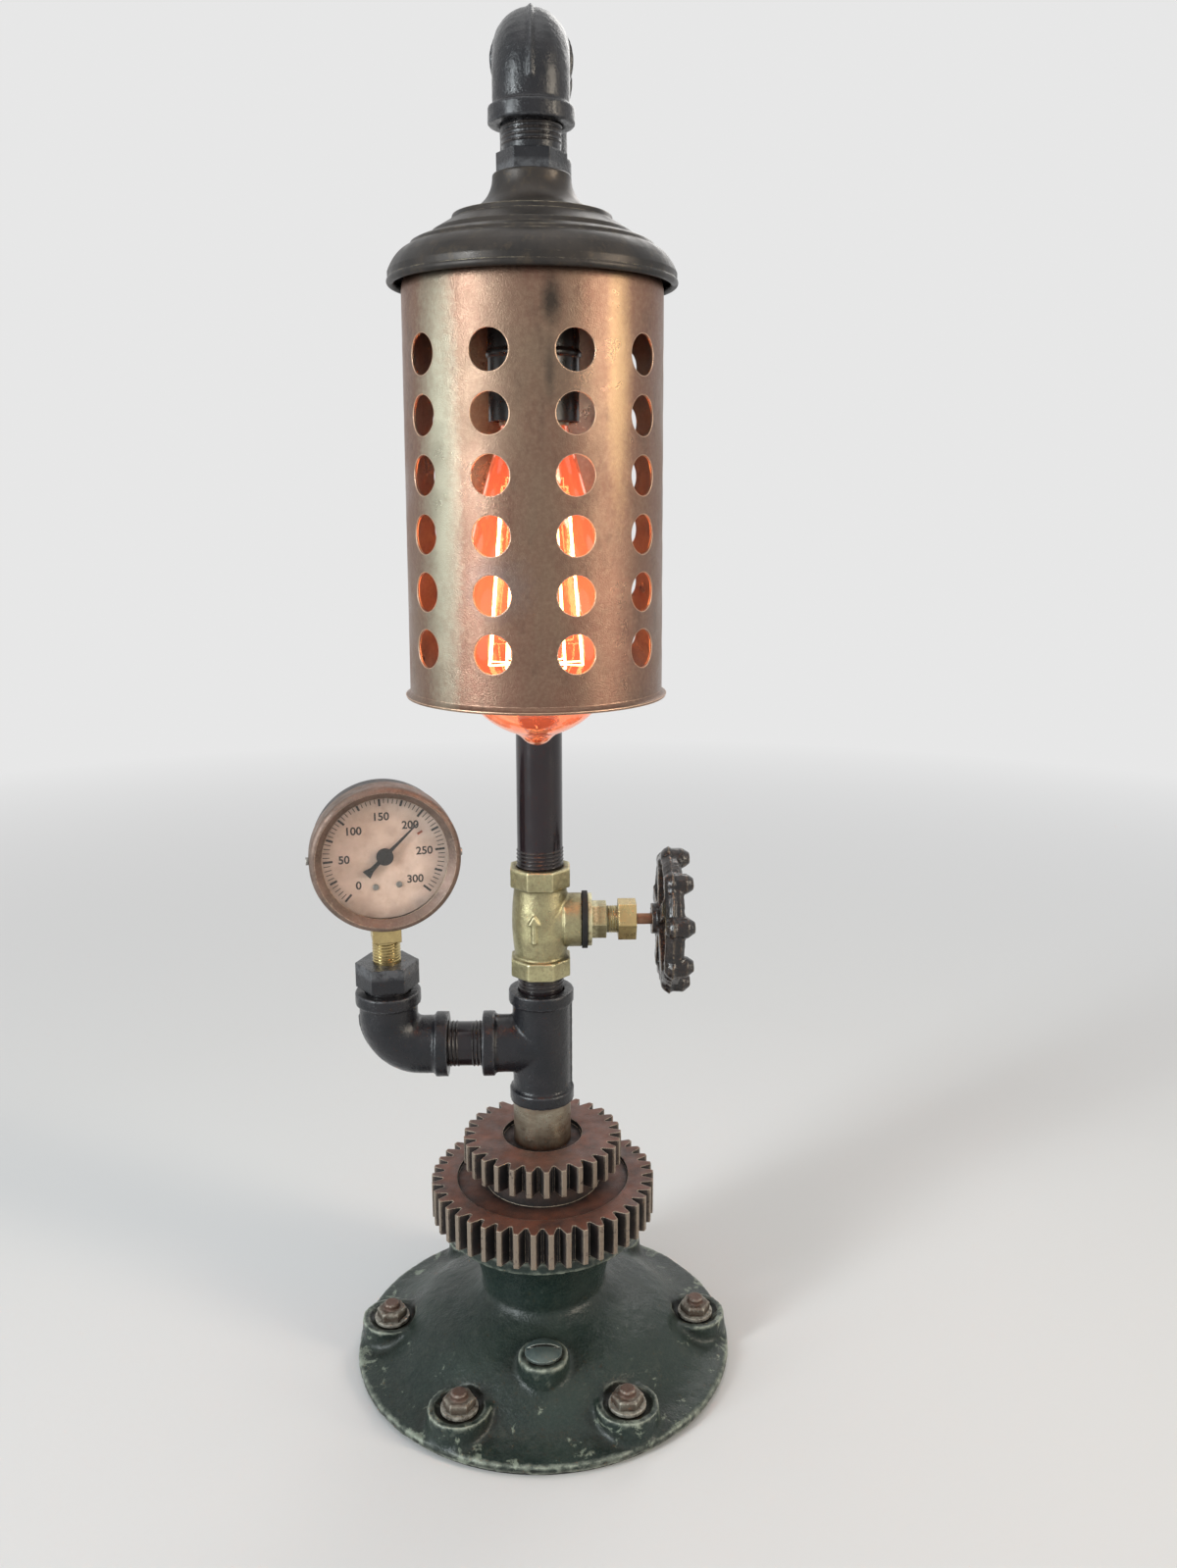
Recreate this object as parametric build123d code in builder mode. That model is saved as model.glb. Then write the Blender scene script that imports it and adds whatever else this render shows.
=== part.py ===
from build123d import *
from math import asin, cos, degrees, pi, radians, sin, sqrt
import os

os.makedirs("parts", exist_ok=True)

# Table lamp built from half-inch pipe fittings. Millimetres, +Z up, -Y to the front.
# The origin is the middle of the resting face, on the axis of the column.

# ---- Fits
running_gap = 0.08        # radial gap of a shaft that turns or slides in a hole
thread_gap = 0.1          # radial gap of a screwed joint, its threads drawn plain
slip_gap = 0.3            # radial gap of a piece that slips over a pipe or a bolt
seat_gap = 0.1            # gap left where a moving piece stops against its seat

# ---- Pipe and screwed fittings
pipe_od = 21.3
pipe_bore = 15.8
fitting_reach = 28.5      # from the middle of a fitting to its open end
fitting_od = 28.0
fitting_bore = 17.0
band_od = 31.4
band_length = 6.3
bend_radius = 15.5        # centre line of an elbow
socket_depth = 13.5
engagement = 12.0         # length of pipe screwed into a socket

# ---- Base casting
felt_thickness = 1.5
felt_inset = 3.0
flange_radius = 94.5
rim_height = 5.2
rim_round = 1.6
base_height = 76.8
lip_radius = 49.5
lip_thickness = 8.0
lip_round = 1.5
neck_radius = 31.5
neck_flare = 12.5
crease_height = 37.0
shoulder_radius = 60.0
shoulder_height = 22.5
casting_wall = 7.0
cavity_radius = 57.0
cavity_step = 6.0
deck_thickness = 10.0

# ---- Bolt bosses round the flange
boss_count = 6
bolt_edge = 17.0          # from the edge of the flange to the bolt circle
boss_ground = 9.5         # height of the flange's top at the bolt circle
boss_radius = 15.2
boss_height = 16.0
boss_draft = 4.0
spotface_radius = 11.2
spotface_depth = 2.0
bolt_diameter = 8.0
bolt_length = 13.0
bolt_head_flats = 13.5
bolt_head_height = 4.8
bolt_head_chamfer = 0.8
bolt_end = 3.0             # length of each stud that shows above its nut
bolt_end_chamfer = 0.7
washer_radius = 8.7
washer_thickness = 1.6

# ---- Filler port in front
port_offset = 52.5
port_radius = 12.6
port_height = 31.5
port_edge = 1.0
port_bore = 12.0
port_depth = 14.0
plug_head_radius = 8.8
plug_head_height = 4.0
plug_length = 9.0
plug_slot_width = 1.8
plug_slot_depth = 2.0

# ---- Cord inlet behind
inlet_height = 20.0
inlet_seat = 62.0         # from the column to the spot face of the grommet
grommet_flange_radius = 7.6
grommet_flange = 2.2
grommet_radius = 5.6
grommet_length = 13.0
cord_bore = 7.2

# ---- Gears
gear_module = 2.5
lower_teeth = 42
lower_face = 17.8
lower_hub_radius = 28.0
lower_hub_height = 8.9
lower_rim_width = 7.0
lower_recess = 2.0
upper_teeth = 29
upper_face = 13.4
upper_counterbore = 2.5
upper_ring_radius = 19.5

# ---- Column
collar_od = 28.0
collar_exposed = 19.3
column_tail = 14.5        # pipe that shows under the deck of the base
locknut_flats = 30.0
locknut_thickness = 6.0
locknut_washer_radius = 19.0
locknut_washer = 1.6
valve_nipple_exposed = 7.9
riser_exposed = 298.4
arm_exposed = 20.0
branch_exposed = 16.3

# ---- Globe valve
valve_length = 53.6
valve_side_height = 26.4  # from the bottom of the valve to the axis of its stem
valve_end_flats = 28.0
valve_end_bottom = 9.0
valve_end_top = 9.5
valve_waist_radius = 12.2
valve_belly_radius = 13.6
valve_bore = 12.0
valve_socket_depth = 12.5
valve_engagement = 11.0
side_neck_radius = 12.8
side_neck_end = 19.6
side_neck_root = 11.0
side_root_flare = 0.8
seat_x = 8.0
seat_bore = 10.0
neck_bore = 16.0
gasket_radius = 13.65
gasket_thickness = 2.6
bonnet_collar_radius = 12.5
bonnet_collar = 2.0
bonnet_hex_flats = 15.7
bonnet_hex = 6.9
bonnet_thread = 12.7
bonnet_thread_exposed = 5.6
bonnet_thread_hidden = 5.3
bonnet_spigot = 6.6
bonnet_chamber = 13.4
bonnet_chamber_depth = 9.5
packing_bore = 8.8
packing_depth = 7.0
packing_length = 4.2
packing_nut_flats = 17.3
packing_nut_length = 8.5
packing_nut_lip = 2.2
disc_radius = 6.2
disc_thickness = 3.5
disc_hub_radius = 4.2
disc_hub = 3.0
disc_lift = 4.1           # gap between the disc and its seat as the lamp stands
stem_tip_radius = 1.8
stem_tip = 3.6
stem_thread_diameter = 8.0
stem_thread_length = 11.0
stem_diameter = 5.2
stem_exposed = 7.0        # stem that shows between the packing nut and the wheel
stem_end_diameter = 4.4

# ---- Handwheel
wheel_radius = 35.0
wheel_hub_radius = 7.8
wheel_hub_length = 11.5
wheel_spokes = 5
spoke_width = 7.5
spoke_thickness = 4.0
spoke_back = 3.0          # from the back of the hub to the back of the spokes
rim_inner_radius = 26.5
rim_outer_radius = 32.2
rim_back = 4.0
rim_depth = 10.0
rim_edge = 2.2
lobe_count = 9
lobe_turn = 9.0           # degrees from the back of the wheel to its first lobe
spoke_turn = 8.0
lobe_radius = 5.3
lobe_depth = 14.5
lobe_round = 3.6
wheel_nut_flats = 8.0
wheel_nut_thickness = 3.6
stem_end_exposed = 1.4

# ---- Gauge elbow, bushing and stem
bushing_gap = 2.5         # thread that shows under the hexagon of the bushing
bushing_flats = 26.0
bushing_hex = 11.8
bushing_turn = 8.0
gauge_thread = 12.6
gauge_thread_exposed = 11.3
gauge_thread_hidden = 9.0
gauge_port = 4.0
gauge_block = 13.5
gauge_block_exposed = 11.2
gauge_block_inside = 12.0

# ---- Pressure gauge, measured from the axis of its stem
gauge_yaw = 12.0
dial_roll = 3.4
case_radius = 32.5
case_wall = 1.2
case_back = 10.0
case_front = 14.0
case_round = 3.0
notch_gap = 0.4
lens_thickness = 2.0
lens_rim_inset = 0.5
bezel_fit = 0.2
bezel_wall = 1.55
bezel_skirt = 7.0
bezel_nose = 3.5
bezel_lap = 4.0           # how far the bezel's cone covers the glass, from the case's side
bezel_crown_inset = 2.45
bezel_screw_radius = 1.8
bezel_screw_height = 1.3
dial_gap = 0.9            # from the inside of the case to the edge of the dial
dial_plate = 0.8
dial_screw_radius = 1.4
dial_screw_height = 0.8
dial_screw_spread = 5.4
dial_screw_drop = 14.5
needle_short = 8.9        # from the edge of the dial to the point of the needle
needle_root_width = 1.8
needle_point_width = 0.5
needle_tail = 12.0
needle_tail_root = 1.4
needle_tail_neck = 2.2
needle_tail_width = 4.8
needle_thickness = 0.6
needle_lift = 1.6         # from the dial to the back of the needle
needle_hub_radius = 3.9
needle_hub_height = 1.6
needle_reading = 49.5     # degrees clockwise from the top of the scale

# ---- Gauge movement
movement_module = 0.4
pinion_teeth = 12
sector_teeth = 60         # teeth of the full circle that the sector is cut from
sector_first = -4
sector_last = 8
movement_tooth_share = 0.38
arbor_diameter = 1.6
sector_pin_diameter = 1.8
sector_thickness = 1.0
sector_tail = 4.2
sector_tail_width = 1.8
sector_tail_angle = -25.0
pinion_length = 1.8
plate_thickness = 1.0
plate_width = 20.0
plate_edge = 1.8
plate_corner = 4.2
plate_gap = 5.0
plate_top = 5.0
plate_back = 1.0
pillar_radius = 1.2
tube_inset = 8.3          # from the inside of the case to the middle of the tube
tube_width = 6.0
tube_thickness = 3.0
tube_wall = 0.5
tube_back = 0.8           # from the stem's axis back to the middle of the tube
tube_sweep = 262.0
tube_shoe = 8.0           # degrees of arc that the tube's shoe runs into the block
tube_tip_radius = 1.8
tube_tip_over = 0.4       # how far the tube's end piece stands out past the tube
link_width = 2.2
link_thickness = 0.8

# ---- Shade, cap and tube
bushing_thread_exposed = 8.7
top_bushing_flats = 22.2
top_bushing_hex = 7.2
lamp_tube_od = 10.0
lamp_tube_bore = 7.0
lamp_tube_top = 14.0      # from the bottom of the top bushing up to the end of the tube
lamp_tube_socket = 12.0   # length of the tube screwed into the socket's cap
tube_nut_flats = 14.0
tube_nut_thickness = 4.5
cap_wall = 1.2
cap_neck_radius = 14.3
cap_radius = 53.3
cap_height = 38.6
cap_edge = 1.0
cap_neck_flare = 7.7
cap_neck_drop = 12.4
cap_shelf_radius = 29.0
cap_shelf_drop = 14.3
cap_step = 1.8
cap_step_radius = 36.6
cap_step_drop = 20.2
cap_brow_middle = 41.2
cap_brow_middle_drop = 22.8
cap_hem_radius = 44.4
cap_hem_drop = 24.2
cap_hem_step = 1.3
cap_skirt_middle = 48.3
cap_skirt_middle_drop = 27.3
cap_skirt_radius = 50.5
cap_skirt_drop = 29.6
cap_side = 4.6
cap_bead_radius = 1.4
shade_drop = 30.6         # from the top of the cap to the top of the shade
shade_top_radius = 48.1
shade_bottom_radius = 49.2
shade_lip_radius = 51.0
shade_lip_height = 2.2
shade_height = 157.7
shade_shoulder = 10.0
shade_wall = 0.9
shade_columns = (18.0, 54.0, 90.0, 131.0)  # degrees from the front, on both sides; one more is behind
shade_rows = 6
shade_hole = 14.2
shade_row_pitch = 20.65
shade_first_row = 33.6    # from the top of the shade to the middle of the first row

# ---- Lamp socket
socket_radius = 17.0
socket_wall = 1.4
socket_height = 49.9
socket_cap_height = 14.0
socket_hub_radius = 7.5
socket_hub_height = 5.0
socket_dome = 3.4
socket_bead = 0.8
socket_bead_height = 24.3 # from the mouth of the socket to the bead
liner_wall = 0.6
screw_shell_radius = 14.2
screw_shell_wall = 0.5
screw_shell_length = 19.0
insulator_thickness = 8.4
contact_width = 7.0
contact_thickness = 0.8
contact_drop = 3.0

# ---- Bulb
bulb_length = 148.0
bulb_radius = 32.0
bulb_widest = 36.8        # from the tip to the widest place
bulb_nipple_radius = 5.5
bulb_nipple = 2.6
bulb_nipple_flare_radius = 9.5
bulb_nipple_flare = 5.4
bulb_nose_radius = 21.0
bulb_nose = 12.2
bulb_waist_radius = 28.5
bulb_waist = 65.0
bulb_neck_radius = 12.6
bulb_glass_length = 127.0
bulb_glass_wall = 0.9
bulb_base_radius = 13.1
bulb_base_height = 20.0
bulb_base_wall = 0.4
bulb_base_cone = 4.5
bulb_insulator_radius = 11.4
bulb_button_radius = 4.8
bulb_button_height = 1.2
mount_radius = 5.5
mount_rod_radius = 1.6
mount_lip = 1.0
support_radius = 0.3
mount_end = 31.0          # from the tip of the bulb to the end of the glass rod
filament_count = 10
filament_radius = 0.45
filament_low_ring = 19.0
filament_high_ring = 13.5
filament_length = 62.0

# ---- Heights of the stack, from the table up
pipe_radius = pipe_od / 2
base_bottom = felt_thickness
lip_top = base_bottom + base_height
lip_bottom = lip_top - lip_thickness
deck_bottom = lip_top - deck_thickness
lower_top = lip_top + lower_face
upper_bottom = lower_top + lower_hub_height
upper_top = upper_bottom + upper_face
tee_bottom = upper_top + collar_exposed
tee_z = tee_bottom + fitting_reach
tee_top = tee_z + fitting_reach
valve_bottom = tee_top + valve_nipple_exposed
valve_top = valve_bottom + valve_length
stem_z = valve_bottom + valve_side_height
elbow_bottom = valve_top + riser_exposed
elbow_z = elbow_bottom + fitting_reach
arm_reach = 2 * fitting_reach + arm_exposed
gauge_x = -(2 * fitting_reach + branch_exposed)
top_hex_top = elbow_bottom - bushing_thread_exposed
top_hex_bottom = top_hex_top - top_bushing_hex
cap_top = top_hex_bottom
shade_top = cap_top - shade_drop
shade_bottom = shade_top - shade_height
socket_top = shade_top - shade_wall - tube_nut_thickness
socket_mouth = socket_top - socket_height
bolt_circle = flange_radius - bolt_edge
port_top = base_bottom + port_height

gauge_z = (tee_top + bushing_gap + bushing_hex + gauge_thread_exposed + gauge_block_exposed
           + case_radius)
insulator_bottom = socket_top - socket_cap_height - insulator_thickness
bulb_tip = insulator_bottom - contact_drop - seat_gap - bulb_length

shade_axis = Axis((0, -arm_reach, 0), (0, 0, 1))
shade_section = Plane.XZ.offset(arm_reach)
stem_axis = Axis((0, 0, stem_z), (1, 0, 0))
stem_section = Plane(origin=(0, 0, stem_z), x_dir=(1, 0, 0), z_dir=(0, -1, 0))


def save(part, name):
    """Label a finished piece and write it to its own STEP file."""
    part.label = name
    export_step(part, f"parts/{name}.step")


def level(height, x=0, y=0):
    """A horizontal plane at a height, centred on a vertical axis."""
    return Plane(origin=(x, y, height))


def tube(plane, outer, inner, length):
    """A plain round tube that stands on a plane."""
    with BuildSketch(plane) as ring:
        Circle(outer)
        Circle(inner, mode=Mode.SUBTRACT)
    extrude(ring.sketch, amount=length)


def hexagon(plane, flats, length, bore, turn=0):
    """A hexagon prism with a round hole."""
    with BuildSketch(plane) as outline:
        RegularPolygon(flats / 2, 6, major_radius=False, rotation=turn)
        Circle(bore, mode=Mode.SUBTRACT)
    extrude(outline.sketch, amount=length)


def disc(plane, radius, length, mode=Mode.ADD):
    """A round bar, or with Mode.SUBTRACT a round hole, along a plane's normal."""
    with BuildSketch(plane) as round_face:
        Circle(radius)
    extrude(round_face.sketch, amount=length, mode=mode)


def teeth(count, module, places, share=0.5):
    """Straight-flanked gear teeth with rounded proportions, placed round a pitch circle."""
    pitch = module * count / 2
    half = share * pi * module / 2
    slope = 0.364 * module
    root = (pitch - 1.25 * module, half + 1.1 * slope)
    tip = (pitch + module, half - 0.95 * slope)
    sunk = root[0] - 0.2 * module
    for place in places:
        with Locations(Location((0, 0, 0), (0, 0, 1), place * 360 / count)):
            Polygon((sunk, -root[1]), (root[0], -root[1]), (pitch, -half), (tip[0], -tip[1]),
                    (tip[0], tip[1]), (pitch, half), (root[0], root[1]), (sunk, root[1]), align=None)


# ==== Base

with BuildPart() as base_felt:
    with BuildSketch(level(0)):
        Circle(flange_radius - felt_inset)
    extrude(amount=felt_thickness)
save(base_felt.part, "base_felt")

crease = (neck_radius, base_bottom + crease_height)
shoulder = (shoulder_radius, base_bottom + shoulder_height)
bolt_ground = (bolt_circle, base_bottom + boss_ground)
rim_top = (flange_radius - rim_round, base_bottom + rim_height)
neck_top = (neck_radius + neck_flare, lip_bottom)

with BuildPart() as base_casting:
    with BuildSketch(Plane.XZ):
        with BuildLine():
            Polyline((0, base_bottom), (0, lip_top), (lip_radius - lip_round, lip_top))
            RadiusArc((lip_radius - lip_round, lip_top), (lip_radius, lip_top - lip_round), lip_round)
            Line((lip_radius, lip_top - lip_round), (lip_radius, lip_bottom + lip_round))
            RadiusArc((lip_radius, lip_bottom + lip_round), (lip_radius - lip_round, lip_bottom), lip_round)
            Line((lip_radius - lip_round, lip_bottom), neck_top)
            Spline(neck_top, crease, tangents=((-1, -0.9), (-0.08, -1)))
            Spline(crease, shoulder, bolt_ground, rim_top, tangents=((0.75, -1), (1, -0.16)))
            RadiusArc(rim_top, (flange_radius, rim_top[1] - rim_round), rim_round)
            Polyline((flange_radius, rim_top[1] - rim_round), (flange_radius, base_bottom), (0, base_bottom))
        make_face()
    revolve(axis=Axis.Z)
    # bosses stand on the flange and are cast with it
    with BuildSketch(level(base_bottom)):
        with PolarLocations(bolt_circle, boss_count):
            Circle(boss_radius + boss_height * sin(radians(boss_draft)))
    extrude(amount=boss_height, taper=boss_draft)
    with BuildSketch(Plane.XZ.offset(port_offset)):
        with BuildLine():
            Polyline((0, base_bottom), (port_radius, base_bottom), (port_radius, port_top - port_edge),
                     (port_radius - port_edge, port_top), (0, port_top), (0, base_bottom))
        make_face()
    revolve(axis=Axis((0, -port_offset, 0), (0, 0, 1)))
    # the hollow underneath, open to the felt
    with BuildSketch(Plane.XZ):
        with BuildLine():
            Polyline((0, base_bottom), (cavity_radius, base_bottom),
                     (cavity_radius, base_bottom + cavity_step),
                     (neck_radius - casting_wall, crease[1] - casting_wall),
                     (neck_radius - casting_wall, deck_bottom), (0, deck_bottom), (0, base_bottom))
        make_face()
    revolve(axis=Axis.Z, mode=Mode.SUBTRACT)
    with BuildSketch(level(deck_bottom)):
        Circle(pipe_radius + slip_gap)
    extrude(amount=deck_thickness, mode=Mode.SUBTRACT)
    # spot faces and bolt holes
    with BuildSketch(level(base_bottom + boss_height - spotface_depth)):
        with PolarLocations(bolt_circle, boss_count):
            Circle(spotface_radius)
    extrude(amount=boss_height, mode=Mode.SUBTRACT)
    with BuildSketch(level(base_bottom)):
        with PolarLocations(bolt_circle, boss_count):
            Circle(bolt_diameter / 2 + slip_gap)
    extrude(amount=boss_height, mode=Mode.SUBTRACT)
    # filler port and cord inlet
    with BuildSketch(level(port_top - port_depth, y=-port_offset)):
        Circle(port_bore / 2)
    extrude(amount=port_depth, mode=Mode.SUBTRACT)
    with BuildSketch(level(port_top, y=-port_offset)):
        Circle(plug_head_radius + slip_gap)
    extrude(amount=plug_head_radius, mode=Mode.SUBTRACT)
    inlet_plane = Plane(origin=(0, inlet_seat, inlet_height), z_dir=(0, 1, 0))
    with BuildSketch(inlet_plane):
        Circle(grommet_flange_radius + slip_gap)
    extrude(amount=flange_radius - inlet_seat, mode=Mode.SUBTRACT)
    with BuildSketch(inlet_plane):
        Circle(grommet_radius)
    extrude(amount=-(inlet_seat - neck_radius), mode=Mode.SUBTRACT)
save(base_casting.part, "base_casting")

with BuildPart() as cord_grommet:
    with BuildSketch(inlet_plane):
        Circle(grommet_flange_radius)
    extrude(amount=grommet_flange)
    with BuildSketch(inlet_plane):
        Circle(grommet_radius)
    extrude(amount=-grommet_length)
    with BuildSketch(inlet_plane.offset(-grommet_length)):
        Circle(cord_bore / 2)
    extrude(amount=grommet_length + grommet_flange, mode=Mode.SUBTRACT)
save(cord_grommet.part, "cord_grommet")

washer_seat = base_bottom + boss_height - spotface_depth
head_seat = washer_seat + washer_thickness

with BuildPart() as bolt_washers:
    with BuildSketch(level(washer_seat)):
        with PolarLocations(bolt_circle, boss_count):
            Circle(washer_radius)
            Circle(bolt_diameter / 2 + slip_gap, mode=Mode.SUBTRACT)
    extrude(amount=washer_thickness)
save(bolt_washers.part, "bolt_washers")

with BuildPart() as flange_bolts:
    with BuildSketch(level(head_seat)):
        with PolarLocations(bolt_circle, boss_count):
            RegularPolygon(bolt_head_flats / 2, 6, major_radius=False)
    extrude(amount=bolt_head_height)
    chamfer(flange_bolts.faces().group_by(Axis.Z)[-1].edges(), bolt_head_chamfer)
    with BuildSketch(level(head_seat - bolt_length)):
        with PolarLocations(bolt_circle, boss_count):
            Circle(bolt_diameter / 2)
    extrude(amount=bolt_length)
    with BuildSketch(level(head_seat + bolt_head_height)):
        with PolarLocations(bolt_circle, boss_count):
            Circle(bolt_diameter / 2)
    extrude(amount=bolt_end)
    chamfer(flange_bolts.faces().group_by(Axis.Z)[-1].edges(), bolt_end_chamfer)
save(flange_bolts.part, "flange_bolts")

with BuildPart() as filler_plug:
    with BuildSketch(Plane.XZ.offset(port_offset)):
        with BuildLine():
            Polyline((0, port_top - plug_length), (port_bore / 2 - thread_gap, port_top - plug_length),
                     (port_bore / 2 - thread_gap, port_top), (plug_head_radius, port_top),
                     (plug_head_radius, port_top + plug_head_height * 0.3))
            ThreePointArc((plug_head_radius, port_top + plug_head_height * 0.3),
                          (plug_head_radius * 0.6, port_top + plug_head_height * 0.82),
                          (0, port_top + plug_head_height))
            Line((0, port_top + plug_head_height), (0, port_top - plug_length))
        make_face()
    revolve(axis=Axis((0, -port_offset, 0), (0, 0, 1)))
    with BuildSketch(level(port_top + plug_head_height - plug_slot_depth, y=-port_offset)):
        Rectangle(3 * plug_head_radius, plug_slot_width)
    extrude(amount=2 * plug_slot_depth, mode=Mode.SUBTRACT)
save(filler_plug.part, "filler_plug")

# ==== Gears and column

gear_bore = pipe_radius + slip_gap

with BuildPart() as lower_gear:
    lower_root = gear_module * (lower_teeth / 2 - 1.25)
    with BuildSketch(level(lip_top)):
        Circle(lower_root)
        teeth(lower_teeth, gear_module, range(lower_teeth))
    extrude(amount=lower_face)
    with BuildSketch(level(lower_top - lower_recess)):
        Circle(lower_root - lower_rim_width)
        Circle(lower_hub_radius, mode=Mode.SUBTRACT)
    extrude(amount=lower_recess, mode=Mode.SUBTRACT)
    with BuildSketch(level(lower_top)):
        Circle(lower_hub_radius)
    extrude(amount=lower_hub_height)
    with BuildSketch(level(lip_top)):
        Circle(gear_bore)
    extrude(amount=lower_face + lower_hub_height, mode=Mode.SUBTRACT)
save(lower_gear.part, "lower_gear")

with BuildPart() as upper_gear:
    with BuildSketch(level(upper_bottom)):
        Circle(gear_module * (upper_teeth / 2 - 1.25))
        teeth(upper_teeth, gear_module, range(upper_teeth))
        Circle(gear_bore, mode=Mode.SUBTRACT)
    extrude(amount=upper_face)
    with BuildSketch(level(upper_top - upper_counterbore)):
        Circle(upper_ring_radius)
    extrude(amount=upper_counterbore, mode=Mode.SUBTRACT)
save(upper_gear.part, "upper_gear")

with BuildPart() as pipe_collar:
    tube(level(upper_top - upper_counterbore), collar_od / 2, gear_bore, collar_exposed + upper_counterbore)
save(pipe_collar.part, "pipe_collar")

with BuildPart() as locknut_washer_part:
    tube(level(deck_bottom - locknut_washer), locknut_washer_radius, gear_bore, locknut_washer)
save(locknut_washer_part.part, "locknut_washer")

with BuildPart() as column_locknut:
    hexagon(level(deck_bottom - locknut_washer - locknut_thickness), locknut_flats, locknut_thickness,
            pipe_radius + thread_gap)
save(column_locknut.part, "column_locknut")

with BuildPart() as column_nipple:
    tube(level(deck_bottom - column_tail), pipe_radius, pipe_bore / 2,
         tee_bottom + engagement - deck_bottom + column_tail)
save(column_nipple.part, "column_nipple")


def leg(plane):
    """One banded leg of a fitting, from its middle out along the plane's normal."""
    disc(plane, fitting_od / 2, fitting_reach)
    disc(plane.offset(fitting_reach - band_length), band_od / 2, band_length)


def leg_bores(plane):
    """The threaded socket and the waterway of one leg."""
    disc(plane, fitting_bore / 2, fitting_reach, Mode.SUBTRACT)
    disc(plane.offset(fitting_reach - socket_depth), pipe_radius + thread_gap, socket_depth, Mode.SUBTRACT)


def elbow(centre, first, second):
    """A banded elbow whose legs run from its centre along two directions."""
    middle, one, two = Vector(*centre), Vector(*first), Vector(*second)
    turn_in = middle + one * bend_radius
    turn_out = middle + two * bend_radius
    crown = turn_in + two * bend_radius - (one + two) * (bend_radius / sqrt(2))
    mouths = [middle + one * fitting_reach, middle + two * fitting_reach]
    inward = [Plane(origin=mouths[0], z_dir=-one), Plane(origin=mouths[1], z_dir=-two)]
    with BuildLine() as path:
        Line(mouths[0], turn_in)
        ThreePointArc(turn_in, crown, turn_out)
        Line(turn_out, mouths[1])
    with BuildSketch(inward[0]) as body_face:
        Circle(fitting_od / 2)
    sweep(body_face.sketch, path=path.line)
    for plane in inward:
        disc(plane, band_od / 2, band_length)
    with BuildSketch(inward[0]) as bore_face:
        Circle(fitting_bore / 2)
    sweep(bore_face.sketch, path=path.line, mode=Mode.SUBTRACT)
    for plane in inward:
        disc(plane, pipe_radius + thread_gap, socket_depth, Mode.SUBTRACT)


with BuildPart() as tee:
    tee_legs = [Plane(origin=(0, 0, tee_z), z_dir=d) for d in ((0, 0, 1), (0, 0, -1), (-1, 0, 0))]
    for tee_leg in tee_legs:
        leg(tee_leg)
    for tee_leg in tee_legs:
        leg_bores(tee_leg)
save(tee.part, "tee")

with BuildPart() as branch_nipple:
    tube(Plane(origin=(-(fitting_reach - engagement), 0, tee_z), z_dir=(-1, 0, 0)),
         pipe_radius, pipe_bore / 2, branch_exposed + 2 * engagement)
save(branch_nipple.part, "branch_nipple")

with BuildPart() as gauge_elbow:
    elbow((gauge_x, 0, tee_z), (1, 0, 0), (0, 0, 1))
save(gauge_elbow.part, "gauge_elbow")

with BuildPart() as valve_nipple:
    tube(level(tee_top - engagement), pipe_radius, pipe_bore / 2,
         engagement + valve_nipple_exposed + valve_engagement)
save(valve_nipple.part, "valve_nipple")

with BuildPart() as riser_pipe:
    tube(level(valve_top - valve_engagement), pipe_radius, pipe_bore / 2,
         valve_engagement + riser_exposed + engagement)
save(riser_pipe.part, "riser_pipe")

with BuildPart() as back_elbow:
    elbow((0, 0, elbow_z), (0, 0, -1), (0, -1, 0))
save(back_elbow.part, "back_elbow")

with BuildPart() as arm_nipple:
    tube(Plane(origin=(0, -(fitting_reach - engagement), elbow_z), z_dir=(0, -1, 0)),
         pipe_radius, pipe_bore / 2, arm_exposed + 2 * engagement)
save(arm_nipple.part, "arm_nipple")

with BuildPart() as front_elbow:
    elbow((0, -arm_reach, elbow_z), (0, 1, 0), (0, 0, -1))
save(front_elbow.part, "front_elbow")

# ==== Globe valve

gasket_end = side_neck_end + gasket_thickness
collar_end = gasket_end + bonnet_collar
hex_end = collar_end + bonnet_hex
nut_start = hex_end + bonnet_thread_exposed
nut_end = nut_start + packing_nut_length
bonnet_end = nut_start + bonnet_thread_hidden
spigot_start = side_neck_end - bonnet_spigot
chamber_end = spigot_start + bonnet_chamber_depth
wheel_back = nut_end + stem_exposed
disc_back = seat_x + disc_lift

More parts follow.
